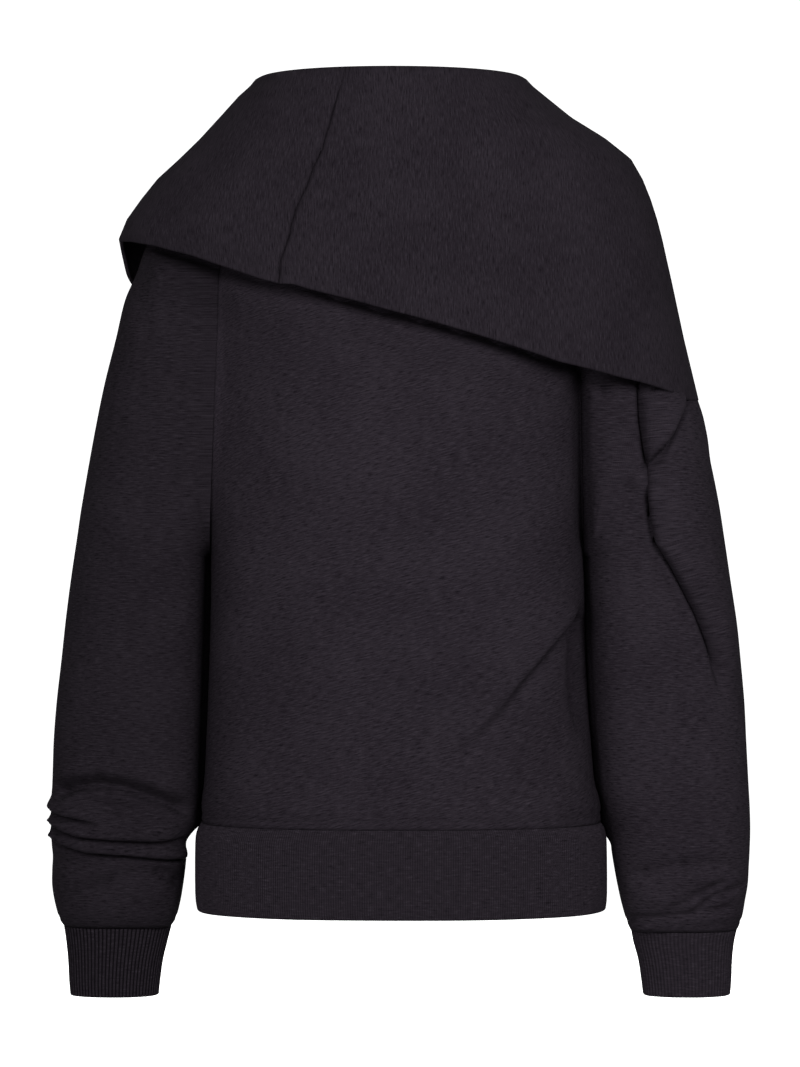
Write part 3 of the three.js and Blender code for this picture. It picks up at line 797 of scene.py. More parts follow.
class Nodes:
    """The node tree of a new material."""

    def __init__(self, name: str) -> None:
        """Makes an empty material.

        Args:
            name: name of the material.
        """
        self.material = bpy.data.materials.new(name)
        self.material.use_nodes = True
        self.nodes = self.material.node_tree.nodes
        self.links = self.material.node_tree.links
        self.nodes.clear()

    def add(self, kind: str, settings: dict[str, Any], inputs: dict[Any, Any]) -> bpy.types.Node:
        """Adds any node.

        Args:
            kind: the node's type.
            settings: its properties, set first.
            inputs: values or sockets, by input name or number.

        Returns:
            The node.
        """
        node = self.nodes.new(kind)
        for name, value in settings.items():
            setattr(node, name, value)
        for name, value in inputs.items():
            value = getattr(value, "value", value)
            if isinstance(value, bpy.types.NodeSocket):
                self.links.new(value, node.inputs[name])
            else:
                node.inputs[name].default_value = value
        return node

    def grain(self) -> tuple[Maths, Maths]:
        """Reads the cloth's own coordinates.

        Returns:
            Metres across and metres up.
        """
        source = self.add("ShaderNodeUVMap", {"uv_map": GRAIN}, {})
        parts = self.add("ShaderNodeSeparateXYZ", {}, {0: source.outputs[0]})
        return Maths(self, parts.outputs[0]), Maths(self, parts.outputs[1])

    def noise(self, x: Maths, y: Maths, detail: float, seed: float) -> Maths:
        """Noise over two coordinates, with a seed as the third.

        Args:
            x: first coordinate.
            y: second coordinate.
            detail: octaves of finer noise.
            seed: third coordinate.

        Returns:
            Values about a half.
        """
        place = self.add("ShaderNodeCombineXYZ", {}, {0: x, 1: y, 2: seed})
        inputs = {"Vector": place.outputs[0], "Scale": 1.0, "Detail": detail, "Roughness": 0.55}
        return Maths(self, self.add("ShaderNodeTexNoise", {}, inputs).outputs[0])

    def blend(self, factor: Maths, low: Any, high: Any) -> Any:
        """Colour mix of two colours or sockets."""
        node = self.add("ShaderNodeMix", {"data_type": "RGBA"}, {0: factor, 6: low, 7: high})
        return node.outputs[2]

    def finish(
        self, inputs: dict[str, Any], height: Maths, strength: float, distance: float
    ) -> bpy.types.Material:
        """Adds the bump, the shader and the output.

        Args:
            inputs: values and sockets of the shader.
            height: what the bump is made from.
            strength: the bump's strength.
            distance: the bump's depth in metres.

        Returns:
            The material.
        """
        relief = {"Height": height, "Strength": strength, "Distance": distance}
        bump = self.add("ShaderNodeBump", {}, relief)
        shader = self.add("ShaderNodeBsdfPrincipled", {}, {**inputs, "Normal": bump.outputs[0]})
        self.add("ShaderNodeOutputMaterial", {}, {0: shader.outputs[0]})
        return self.material


def soft_surface(colour: Any, fibre: Maths) -> dict[str, Any]:
    """Shader values of a dull cloth, a little less rough along its fibres."""
    return {"Base Color": colour, "Roughness": 1.0 - fibre * 0.12, "Specular IOR Level": 0.12}


def toned(colour: tuple[float, float, float], tone: float) -> tuple[float, float, float, float]:
    """Scales a colour and makes it opaque."""
    return (colour[0] * tone, colour[1] * tone, colour[2] * tone, 1.0)


@dataclass(frozen=True)
class Heather:
    """Marled jersey: dark cloth with soft lighter and darker streaks along the courses.

    slant turns the streaks in degrees from across the piece. The colours are linear, and tone
    scales them all. Sizes in metres: streak is the streaks' length and width, fibre, wander and
    dye are those of the finer and slower noises, and wale is the width of a stitch column.
    """

    name: str
    slant: float = 0.0
    dark: tuple[float, float, float] = (0.0070, 0.0050, 0.0080)
    plain: tuple[float, float, float] = (0.0280, 0.0219, 0.0300)
    light: tuple[float, float, float] = (0.0700, 0.0580, 0.0745)
    tone: float = 1.0
    streak: tuple[float, float] = (9.0 * MM, 1.15 * MM)
    fibre: float = 0.5 * MM
    wander: float = 0.03
    dye: float = 0.07
    wale: float = 1.1 * MM
    seed: float = 0.0

    def material(self) -> bpy.types.Material:
        """Makes the material.

        Two noises stretched along the turned grain give the streaks, and a slow one makes the
        long ones wander. A finer noise gives the fibres, and another slow one the uneven dye.
        The bump is the fibres, the short streaks and the fine wales of the knit.

        Returns:
            The material.
        """
        tree = Nodes(self.name)
        across, up = tree.grain()
        turn = math.radians(self.slant)
        along = across * math.cos(turn) + up * math.sin(turn)
        over = up * math.cos(turn) - across * math.sin(turn)
        length, width = self.streak
        slow_x, slow_y = across / self.wander, up / self.wander
        wander = (tree.noise(slow_x, slow_y, 2.0, self.seed + 9.0) - 0.5) * 1.2
        long_streak = tree.noise(along / length, over / width + wander, 3.0, self.seed)
        short_streak = tree.noise(along / (0.45 * length), over / (0.6 * width), 4.0, self.seed + 4.0)
        fibre = tree.noise(across / self.fibre, up / self.fibre, 3.0, self.seed + 7.0)
        dye = tree.noise(across / self.dye, up / self.dye, 2.0, self.seed + 2.0)
        marl = long_streak * 0.6 + short_streak * 0.4
        lighter = (marl + (fibre - 0.5) * 0.20).fit(0.49, 0.70)
        darker = (marl + (fibre - 0.5) * 0.25).fit(0.50, 0.33)
        plain, light, dark = (toned(c, self.tone) for c in (self.plain, self.light, self.dark))
        cloth = tree.blend(dye.fit(0.3, 0.7) * 0.16, plain, light)
        cloth = tree.blend(darker * 0.9, cloth, dark)
        cloth = tree.blend(lighter * 0.7, cloth, light)
        wales = (across * (2 * math.pi / self.wale)).sine() * 0.18
        height = fibre * 0.55 + short_streak * 0.45 + wales
        return tree.finish(soft_surface(cloth, fibre), height, 0.5, 0.5 * MM)


@dataclass(frozen=True)
class RibHeather:
    """Marled rib knit: broken streaks over the ribs, and the small stitches down each rib.

    tone scales the colours, and the shade weight sets how far painted shade darkens the cloth
    between the ribs. pitch is the width of a rib and stitch the height of a stitch, in metres.
    """

    name: str
    dark: tuple[float, float, float] = (0.0070, 0.0052, 0.0080)
    plain: tuple[float, float, float] = (0.0330, 0.0262, 0.0350)
    light: tuple[float, float, float] = (0.0700, 0.0580, 0.0750)
    tone: float = 1.0
    furrow_shade: float = 0.35
    pitch: float = 2.0 * MM
    stitch: float = 1.3 * MM
    seed: float = 3.0

    def material(self) -> bpy.types.Material:
        """Makes the material.

        A noise longer across than up gives the marl, a fine one its fibres. Painted shade darkens the
        furrows between the ribs. The bump is the fibres, and the stitches as a sine wave up the ribs.

        Returns:
            The material.
        """
        tree = Nodes(self.name)
        across, up = tree.grain()
        marl = tree.noise(across / (8.0 * MM), up / (1.4 * MM), 4.0, self.seed)
        fibre = tree.noise(across / (0.6 * MM), up / (0.8 * MM), 3.0, self.seed + 5.0)
        lighter = (marl + (fibre - 0.5) * 0.35).fit(0.50, 0.76)
        darker = (marl + (fibre - 0.5) * 0.35).fit(0.46, 0.26)
        plain, light, dark = (toned(c, self.tone) for c in (self.plain, self.light, self.dark))
        cloth = tree.blend(darker * 0.8, plain, dark)
        cloth = tree.blend(lighter * 0.8, cloth, light)
        # Painted shade: the cloth between the ribs is darkened towards the dark colour
        furrow_shade = (across * (2 * math.pi / self.pitch) + math.pi / 2).sine().fit(0.1, -0.9)
        cloth = tree.blend(furrow_shade * self.furrow_shade, cloth, dark)
        stitches = (up * (2 * math.pi / self.stitch)).sine() * 0.2
        height = fibre * 0.6 + stitches
        return tree.finish(soft_surface(cloth, fibre), height, 0.5, 0.4 * MM)


@dataclass(frozen=True)
class Yarn:
    """Sewing thread, twisted and a little lighter than the cloth."""

    name: str = "thread"
    colour: tuple[float, float, float] = (0.030, 0.026, 0.033)
    shadow: tuple[float, float, float] = (0.012, 0.010, 0.013)
    twist: float = 0.6 * MM

    def material(self) -> bpy.types.Material:
        """Makes the material: a slanted sine wave in object space is the twist.

        Returns:
            The material.
        """
        tree = Nodes(self.name)
        source = tree.add("ShaderNodeTexCoord", {}, {})
        parts = tree.add("ShaderNodeSeparateXYZ", {}, {0: source.outputs["Object"]})
        x, y, z = (Maths(tree, parts.outputs[k]) for k in range(3))
        ply = ((x + y + z) * (2 * math.pi / self.twist)).sine()
        shade = tree.blend(ply.fit(-1.0, 1.0) * 0.35, (*self.colour, 1.0), (*self.shadow, 1.0))
        inputs = {"Base Color": shade, "Roughness": 0.85, "Specular IOR Level": 0.15}
        return tree.finish(inputs, ply, 0.3, 0.1 * MM)


@dataclass
class Cut:
    """What a cut piece says of itself: the flat cut, its slot and what it replaces."""

    flat: tuple[float, float]
    area: float
    slot: Slot
    nodes: tuple[str, ...]

    def dress(
        self,
        piece: bpy.types.Object,
        material: bpy.types.Material,
    ) -> None:
        """Gives a piece its material, parents it to the body and hides the parts that it replaces.

        Args:
            piece: the cloth.
            material: its finish.
        """
        piece.data.materials.append(material)
        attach(piece, BODY)
        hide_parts(*self.nodes)
        measured = cloth_area(piece)
        log.info("%s: flat area %.3f m2, measured %.3f m2", piece.name, self.area, measured)


def cloth_area(piece: bpy.types.Object) -> float:
    """Half the surface of a thin wall.

    Args:
        piece: the wall.

    Returns:
        Square metres.
    """
    areas = np.zeros(len(piece.data.polygons))
    piece.data.polygons.foreach_get("area", areas)
    return float(areas.sum() / 2)


def sew(piece: bpy.types.Object, material: bpy.types.Material, slot: Slot) -> bpy.types.Object:
    """Gives stitches their thread and body.

    Args:
        piece: the stitches.
        material: the thread.
        slot: the slot of the cloth that they lie on; not used.

    Returns:
        The stitches.
    """
    piece.data.materials.append(material)
    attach(piece, BODY)
    return piece


@dataclass
class Trunk:
    """The back and front panels.

    Each row is half a squarish round section. Between the underarms and the shoulder tips its
    ends keep the depth of the armholes, and the yoke closes in to the neckline. left_low to
    right_high are the x of the armholes' ends, left_depth and right_depth their half widths. The
    cloth is drawn in at the hem seam and bulges above it by bulge, where the sleeves leave room
    for bulge_room. waves is the size of its slow unevenness. The pulls are how far the hem seam,
    its topstitching and the side seams draw the cloth in. Lengths are millimetres.
    """

    squareness: float = 2.5
    armhole_blend: float = 4.0
    hem_seam: float = -583.5
    underarm: float = -352.0
    shoulder_tip: float = -22.0
    left_low: float = -164.0
    left_high: float = -150.0
    left_depth: float = 62.0
    right_low: float = 159.0
    right_high: float = 150.0
    right_depth: float = 52.0
    neck_half_width: float = 100.0
    neck_half_depth: float = 88.0
    thickness: float = 2.2
    columns: int = 160
    lower_rows: int = 92
    armhole_rows: int = 170
    yoke_rows: int = 14
    bulge: float = 2.6
    bulge_room: float = 3.0
    bulge_height: float = 17.0
    bulge_spread: float = 13.0
    hem_pull: float = 0.9
    stitch_pull: float = 0.8
    seam_pull: float = 0.1
    waves: float = 1.3
    sections: tuple[Section, ...] = table_of(Section, (
        (-583.5, -172.0, 174.0, 118.0), (-548.0, -169.9, 168.5, 118.5),
        (-497.0, -167.5, 164.7, 119.0), (-447.0, -165.6, 162.0, 119.0),
        (-391.0, -164.2, 160.3, 118.5), (-352.0, -164.0, 159.0, 118.0),
        (-217.0, -158.0, 155.0, 113.0), (-100.0, -153.0, 152.0, 105.0),
        (-22.0, -150.0, 150.0, 96.0),
    ))
    creases: tuple[Crease, ...] = (
        Crease(((10, -540), (25, -533), (55, -512), (82, -485), (102, -460), (122, -438), (143, -413),
                (156, -392)),
               8.0, 4.2, 46, form=Form.STEP, start=0.8, end=0.1, overhang=3.0, foot=3.0),
        Crease(((158, -402), (154, -420), (152, -448), (154, -480), (158, -515)),
               -13.0, 6, 12, start=0.08, end=0.5),
        Crease(((-148, -150), (-134, -250), (-120, -340), (-120, -440), (-138, -560)), -4.0, 26, 34),
        Crease(((-60, -200), (-40, -320), (-52, -430), (-30, -540)), 2.0, 40, 44),
        Crease(((148, -190), (138, -206), (132, -230)), 2.2, 6, 8, start=0.1, end=0.5),
        Crease(((70, -190), (96, -250), (110, -330)), -1.8, 26, 30),
        Crease(((-162, -400), (-140, -424), (-112, -450), (-80, -476), (-50, -494)), 5.0, 10, 26,
               side=Side.FRONT, start=0.02, end=0.6),
        Crease(((-160, -409), (-136, -434), (-106, -460), (-76, -486)), -3.5, 16, 7,
               side=Side.FRONT, start=0.02, end=0.6),
        Crease(((158, -396), (134, -424), (104, -452), (70, -476)), 5.0, 26, 10,
               side=Side.FRONT, start=0.02, end=0.6),
        Crease(((120, -170), (112, -270), (126, -380), (130, -520)), -3.5, 30, 26, side=Side.FRONT),
        Crease(((-20, -210), (6, -330), (-10, -440), (12, -545)), 2.2, 38, 44, side=Side.FRONT),
        Crease(((-132, -180), (-120, -280), (-134, -350)), -2.4, 22, 26, side=Side.FRONT),
    )

    def side_x(self, hand: int, y: Array, z: Array) -> Array:
        """Where the side of the trunk is at some depths and heights.

        Args:
            hand: -1 for the left side and 1 for the right one.
            y: depths, in millimetres.
            z: heights, in millimetres.

        Returns:
            Its x in millimetres, with the bulge above the hem.
        """
        sections = (*HEM_SECTIONS[::-1], *self.sections)
        left, right, depth = read_levels(sections, z)
        inner = np.maximum(0.0, 1.0 - np.abs(y / depth) ** self.squareness) ** (1 / self.squareness)
        bulge = self.bulge_room * bell(z - self.hem_seam - self.bulge_height, self.bulge_spread)
        return (left + right) / 2 + hand * ((right - left) / 2 * inner + bulge)

    def panel(self, side: Side) -> tuple[Array, Array]:
        """Works out a panel's base grid and its lift.

        Row heights run straight up to the underarm and are then closest at both ends. A point's
        depth is the fourth root of the sum of the fourth powers of the round section and of the
        armhole's edge.

        Args:
            side: back or front.

        Returns:
            The base grid and the lift, in metres.
        """
        row = np.arange(self.lower_rows + self.armhole_rows + self.yoke_rows + 1, dtype=float)[:, None]
        turn = np.pi * np.linspace(0.0, 1.0, self.columns + 1)[None, :]
        climb = np.clip((row - self.lower_rows) / self.armhole_rows, 0.0, 1.0)
        # Heights of the rows, and how far each has risen from the underarm to the shoulder tip
        low = self.hem_seam + SEAM_GAP / 2
        straight = low + (self.underarm - low) * row / self.lower_rows
        eased = climb - 0.7 * np.sin(2 * np.pi * climb) / (2 * np.pi)
        curved = self.underarm + (self.shoulder_tip - self.underarm) * eased
        height = np.where(row < self.lower_rows, straight, curved)
        rise = (height - self.underarm) / (self.shoulder_tip - self.underarm)
        # The ends of each row and its half round section
        left, right, depth = read_levels(self.sections, height)
        left = np.where(rise > 0, self.left_low + (self.left_high - self.left_low) * rise, left)
        right = np.where(rise > 0, self.right_low + (self.right_high - self.right_low) * rise, right)
        spread = np.maximum(0.0, 1.0 - np.abs(2 * rise - 1) ** self.squareness)
        arch = np.where(rise > 0, spread, 0.0) ** (1 / self.squareness)
        over = (power(np.cos(turn), 2 / self.squareness) + 1) / 2
        edge = arch * (self.left_depth + (self.right_depth - self.left_depth) * over)
        round_depth = depth * power(np.sin(turn), 2 / self.squareness)
        x = left + (right - left) * over
        away = (edge**self.armhole_blend + round_depth**self.armhole_blend) ** (1 / self.armhole_blend)
        # The yoke closes in to the neckline
        to_neck = np.clip((row - self.lower_rows - self.armhole_rows) / self.yoke_rows, 0.0, 1.0)
        x = x + (self.neck_half_width * np.cos(turn) - x) * to_neck
        away = away + (self.neck_half_depth * np.sin(turn) - away) * to_neck
        z = height * (1 - to_neck) + np.zeros_like(x)
        y = side.value * np.maximum(SEAM_GAP / 2, away)
        # Creases and waves fade towards the side seams, and the bulge runs right round
        inward = smooth_step(0.0, 0.3, np.sin(turn))
        lift = crease_field(self.creases, side, x, z)[0] * inward
        lift += cloth_waves(x, z, side, self.waves) * inward * smooth_step(0.0, 25.0, z - low)
        uneven = 0.75 + 0.25 * np.sin(x / 21.0)
        lift += self.bulge * bell(z - low - self.bulge_height, self.bulge_spread) * uneven
        # The hem seam, its topstitching and the side seams draw the cloth in
        lift -= self.hem_pull * bell(z - low, 2.0) * inward
        lift -= stitch_dip(z - low, self.stitch_pull)
        if side is Side.BACK:
            y = y - side.value * groove_depth(x, z)
        side_run = np.minimum(np.sin(turn) * depth, 60.0)
        lift -= self.seam_pull * bell(side_run, 2.5)
        return np.stack([x, y, z], axis=-1) * MM, lift * MM

    def build(self, side: Side, name: str) -> tuple[bpy.types.Object, bpy.types.Object]:
        """Makes a panel and the topstitching above its hem seam.

        Args:
            side: back or front.
            name: the panel's name; the stitches' name follows from it.

        Returns:
            The panel and its stitches.
        """
        base, lift = self.panel(side)
        rims = (SEAM_RIM, SEAM_RIM)
        wall = Wall(name, base, lift, self.thickness * MM, False, rims, inner_step=3)
        normals = surface_normals(base, False)
        outer = base + normals * lift[..., None]
        low = (self.hem_seam + STITCH_HEIGHT) * MM
        row = int(np.argmin(np.abs(base[:, 0, 2] - low)))
        inside = slice(4, -4)
        line = outer[row, inside] + normals[row, inside] * STITCH_RISE
        return wall.build(), Thread().build(f"{name}_topstitch", line, normals[row, inside])


@dataclass
class Arm:
    """A sleeve: a tube of squarish sections that fan about the underarm and then hang level.

    hand is -1 for the left and 1 for the right. low and high are the x of the armhole's ends. Rows
    lie closer between the heights of dense. press is how far the far inner part leans towards the
    body, down to rest_end: it comes in over the depths of press_ramp, ends over press_fade below
    rest_end and loses the share press_calm of its creases. It keeps a clearance from the body,
    which drops by sink over the depths of sink_depths. Creases fade towards the outer and inner
    edges over outer_fade and inner_fade, as sines of the turn. corner is how far the sleeve swells
    outwards at corner_height. The swelling grows over corner_top above it, fades over corner_foot
    below it, and rises where the cosine of the turn passes through corner_turn. The pulls are how
    far the cuff seam, its topstitching and the armhole seam draw the cloth in. Lengths are
    millimetres.
    """

    name: str
    hand: int
    low: float
    high: float
    sections: tuple[SleeveSection, ...]
    creases: tuple[Crease, ...]
    underarm: float = -352.0
    shoulder_tip: float = -22.0
    underarm_turn: float = 3.0
    squareness: float = 2.2
    inner_squareness: float = 3.2
    thickness: float = 2.2
    near_columns: int = 120
    far_columns: int = 76
    rows: int = 290
    dense: tuple[float, float] = (-640.0, -545.0)
    waves: float = 1.0
    press: float = 7.0
    press_ramp: float = 16.0
    press_fade: float = 14.0
    press_calm: float = 0.8
    clearance: float = 0.4
    sink: float = 1.4
    sink_depths: tuple[float, float] = (2.0, 12.0)
    outer_fade: float = 0.14
    inner_fade: float = 0.35
    rest_end: float = -592.0
    corner: float = 0.0
    corner_height: float = -226.0
    corner_top: tuple[float, float] = (27.0, 13.0)
    corner_foot: tuple[float, float] = (49.0, 2.0)
    corner_turn: tuple[float, float] = (0.45, 0.72)
    cuff_pull: float = 0.5
    stitch_pull: float = 0.7
    seam_pull: float = 0.1

    def inner_ends(self) -> tuple[list[float], list[float]]:
        """Inner end of each section: the given one, or a point of a small arc under the arm.

        Returns:
            Their x and their z.
        """
        lean = abs(self.low - self.high) / (self.shoulder_tip - self.underarm)
        x = self.low + self.hand * (SEAM_GAP + self.underarm_turn * lean)
        z = self.underarm - self.underarm_turn
        ends_x, ends_z = [], []
        for section in self.sections:
            reach = math.hypot(section.out_x - x, section.out_z - z)
            turned_x = x + self.underarm_turn * (section.out_x - x) / reach
            turned_z = z + self.underarm_turn * (section.out_z - z) / reach
            ends_x.append(turned_x if section.in_x is None else section.in_x)
            ends_z.append(turned_z if section.in_z is None else section.in_z)
        return ends_x, ends_z

    def places(self) -> Array:
        """Spaces the rows evenly along the outer line, and closer where it creases.

        Returns:
            Their places as fractions of the sections, in a column.
        """
        last = len(self.sections) - 1
        fine = np.linspace(0.0, last, 6001)
        x, z = (along_rows(column(self.sections, name), fine) for name in ("out_x", "out_z"))
        low, high = self.dense
        weight = 1.0 + 1.4 * smooth_step(low - 15.0, low, z) * smooth_step(high + 15.0, high, z)
        run = np.concatenate([[0.0], np.cumsum(np.hypot(np.diff(x), np.diff(z)) * weight[1:])])
        return np.interp(np.linspace(0.0, run[-1], self.rows + 1), run, fine)[:, None]

    def grid(self, trunk: Trunk) -> tuple[Array, Array, Array]:
        """Works out the sleeve's base grid, its lift and its shift.

        A section lies in the plane of its chord, from the inner end to the outer one, and the Y
        axis: along the chord it is half the chord times cos^(2/n), away from it the depth times
        sin^(2/n), with a larger n in the near inner quarter. Below the underarm the far inner part
        leans against the side of the trunk, and near the collar's corner the outer edge swells.

        Args:
            trunk: the body that it hangs beside.

        Returns:
            The base grid and the lift in metres, and the shift in millimetres.
        """
        last = len(self.sections) - 1
        place = self.places()
        in_x, in_z = (along_rows(ends, place) for ends in self.inner_ends())
        out_x, out_z, depth = (
            along_rows(column(self.sections, name), place) for name in ("out_x", "out_z", "depth")
        )
        # The sections
        near_turns = np.pi * np.arange(self.near_columns) / self.near_columns
        far_turns = np.pi + np.pi * np.arange(self.far_columns) / self.far_columns
        turn = np.concatenate([near_turns, far_turns])[None, :]
        near_inner = (np.cos(turn) < 0) & (np.sin(turn) > 0)
        bend = 2 / np.where(near_inner, self.inner_squareness, self.squareness)
        along = power(np.cos(turn), bend) / 2
        away = depth * power(np.sin(turn), bend)
        x = (in_x + out_x) / 2 + (out_x - in_x) * along
        z = (in_z + out_z) / 2 + (out_z - in_z) * along
        y = -away
        # The swelling at the collar's corner
        top, foot = self.corner_top, self.corner_foot
        swell = smooth_step(self.corner_height + top[0], self.corner_height + top[1], z)
        swell = swell * smooth_step(self.corner_height - foot[0], self.corner_height - foot[1], z)
        x = x + self.hand * self.corner * swell * smooth_step(*self.corner_turn, np.cos(turn))
        # The far inner part leans on the trunk, and no point goes further in than its limit
        below = smooth_step(-1.5, 1.5, self.underarm - z)
        below = below * smooth_step(self.rest_end - self.press_fade, self.rest_end, z)
        inner = smooth_step(0.1, 0.9, (1.0 - np.cos(turn)) / 2)
        leaning = below * inner * smooth_step(-self.press_ramp, self.press_ramp, y)
        x = x - self.hand * self.press * leaning
        clearance = self.clearance - self.sink * leaning * smooth_step(*self.sink_depths, y)
        limit = trunk.side_x(self.hand, y, z) + self.hand * clearance
        beside = (z < self.underarm - 0.4) & (np.abs(y) < 100.0)
        clear = np.maximum(x, limit) if self.hand > 0 else np.minimum(x, limit)
        x = np.where(beside, clear, x)
        # Creases and waves of the side that the point lies on
        near = y <= 0
        fields = [crease_field(self.creases, side, x, z) for side in Side]
        lift = np.where(near, fields[0][0] * below_collar(x, z), fields[1][0])
        lift += np.where(near, *(cloth_waves(x, z, side, self.waves) for side in Side))
        # They fade towards the edges, both ends and the leaning part
        reach = np.where(np.cos(turn) > 0, self.outer_fade, self.inner_fade)
        fade = smooth_step(0.0, 1.0, np.abs(np.sin(turn)) / reach)
        fade = fade * smooth_step(0.0, 1.2, place) * smooth_step(0.0, 0.8, last - place)
        lips = np.where(np.cos(turn) > 0, smooth_step(0.1, 0.8, np.abs(np.sin(turn))), 1.0) * fade
        shift = np.where(near[..., None], fields[0][1], fields[1][1]) * lips[..., None]
        lift = lift * fade * (1.0 - self.press_calm * leaning)
        # The cuff seam, its topstitching and the armhole seam draw the cloth in
        above = z - self.sections[-1].out_z
        lift -= self.cuff_pull * bell(above, 2.2) * (place > last - 3)
        lift -= stitch_dip(above, self.stitch_pull) * (place > last - 4)
        lift -= self.seam_pull * bell(place, 0.10)
        y = np.where(near, y + groove_depth(x, z), y)
        return np.stack([x, y, z], axis=-1) * MM, lift * MM, shift

    def build(self, trunk: Trunk) -> tuple[bpy.types.Object, bpy.types.Object]:
        """Makes the sleeve and the topstitching above its cuff seam.

        Args:
            trunk: the body that it hangs beside.

        Returns:
            The sleeve and its stitches.
        """
        base, lift, shift = self.grid(trunk)
        rims = (SEAM_RIM, SEAM_RIM)
        grain = level_grain(base, self.near_columns)
        wall = Wall(self.name, base, lift, self.thickness * MM, True, rims, 3, shift, grain)
        outer, normals = wall.outside()
        target = (self.sections[-1].out_z + STITCH_HEIGHT) * MM
        row = int(np.abs(outer[:, 0, 2] - target).argmin())
        picks = np.append(np.arange(outer.shape[1]), 0)
        up = normals[row, picks]
        line = outer[row, picks] + up * STITCH_RISE
        return wall.build(), Thread().build(f"{self.name}_topstitch", line, up)


@dataclass
class Band:
    """A ribbed band: a level tube whose outside rises and falls once for each knitted rib.

    rib_height, thickness and ripple are millimetres, ripple being the height of the slow waves of
    its free edge. rib_columns is the number of points round one rib. pitch is the width of a rib
    in the cloth's own coordinates, in metres.
    """

    name: str
    ribs: int
    sections: tuple[Section, ...]
    rib_height: float = 0.8
    rib_columns: int = 6
    pitch: float = 2.0 * MM
    rows: int = 12
    thickness: float = 2.6
    squareness: float = 2.2
    ripple: float = 0.5

    def build(self) -> bpy.types.Object:
        """Makes the band: the section's curve plus a rounded cosine of the turn times the ribs.

        Returns:
            The band.
        """
        last = len(self.sections) - 1
        place = np.linspace(0.0, last, self.rows + 1)[:, None]
        height, left, right, depth = (
            along_rows(column(self.sections, name), place)
            for name in ("height", "left", "right", "depth")
        )
        columns = self.ribs * self.rib_columns
        even = self._even_turns(columns)
        x = (left + right) / 2 + (right - left) / 2 * power(np.cos(even), 2 / self.squareness)
        y = -depth * power(np.sin(even), 2 / self.squareness)
        z = height + np.zeros_like(x)
        phase = 2 * np.pi * np.arange(columns)[None, :] / self.rib_columns
        rib = self.rib_height * (0.5 + 0.5 * np.cos(phase)) ** 0.6 - self.rib_height
        slow = self.ripple * (np.sin(5 * even + 0.8) + np.sin(9 * even + 2.2))
        slow = slow * smooth_step(0.0, last, place)
        lift = rib * smooth_step(-0.2, 0.25, place) + slow
        base = np.stack([x, y, z], axis=-1) * MM
        across = np.arange(columns + 1)[None, :] * (self.pitch / self.rib_columns)
        up = np.append(z, z[:, :1], axis=1) * MM
        grain = np.stack([across + np.zeros_like(up), up], axis=-1)
        rims = (SEAM_RIM, self.thickness * MM / 2)
        return Wall(
            self.name, base, lift * MM, self.thickness * MM, True, rims,
            inner_step=4, grain=grain, level=True,
        ).build()

    def _even_turns(self, columns: int) -> Array:
        """Turns that are evenly spaced along the section's curve, so that all ribs are alike.

        Args:
            columns: how many.

        Returns:
            The turns, in a row.
        """
        middle = self.sections[len(self.sections) // 2]
        fine = np.linspace(0.0, 2 * np.pi, 7201)
        x = (middle.right - middle.left) / 2 * power(np.cos(fine), 2 / self.squareness)
        y = middle.depth * power(np.sin(fine), 2 / self.squareness)
        run = np.concatenate([[0.0], np.cumsum(np.hypot(np.diff(x), np.diff(y)))])
        return np.interp(np.arange(columns) / columns * run[-1], run, fine)[None, :]


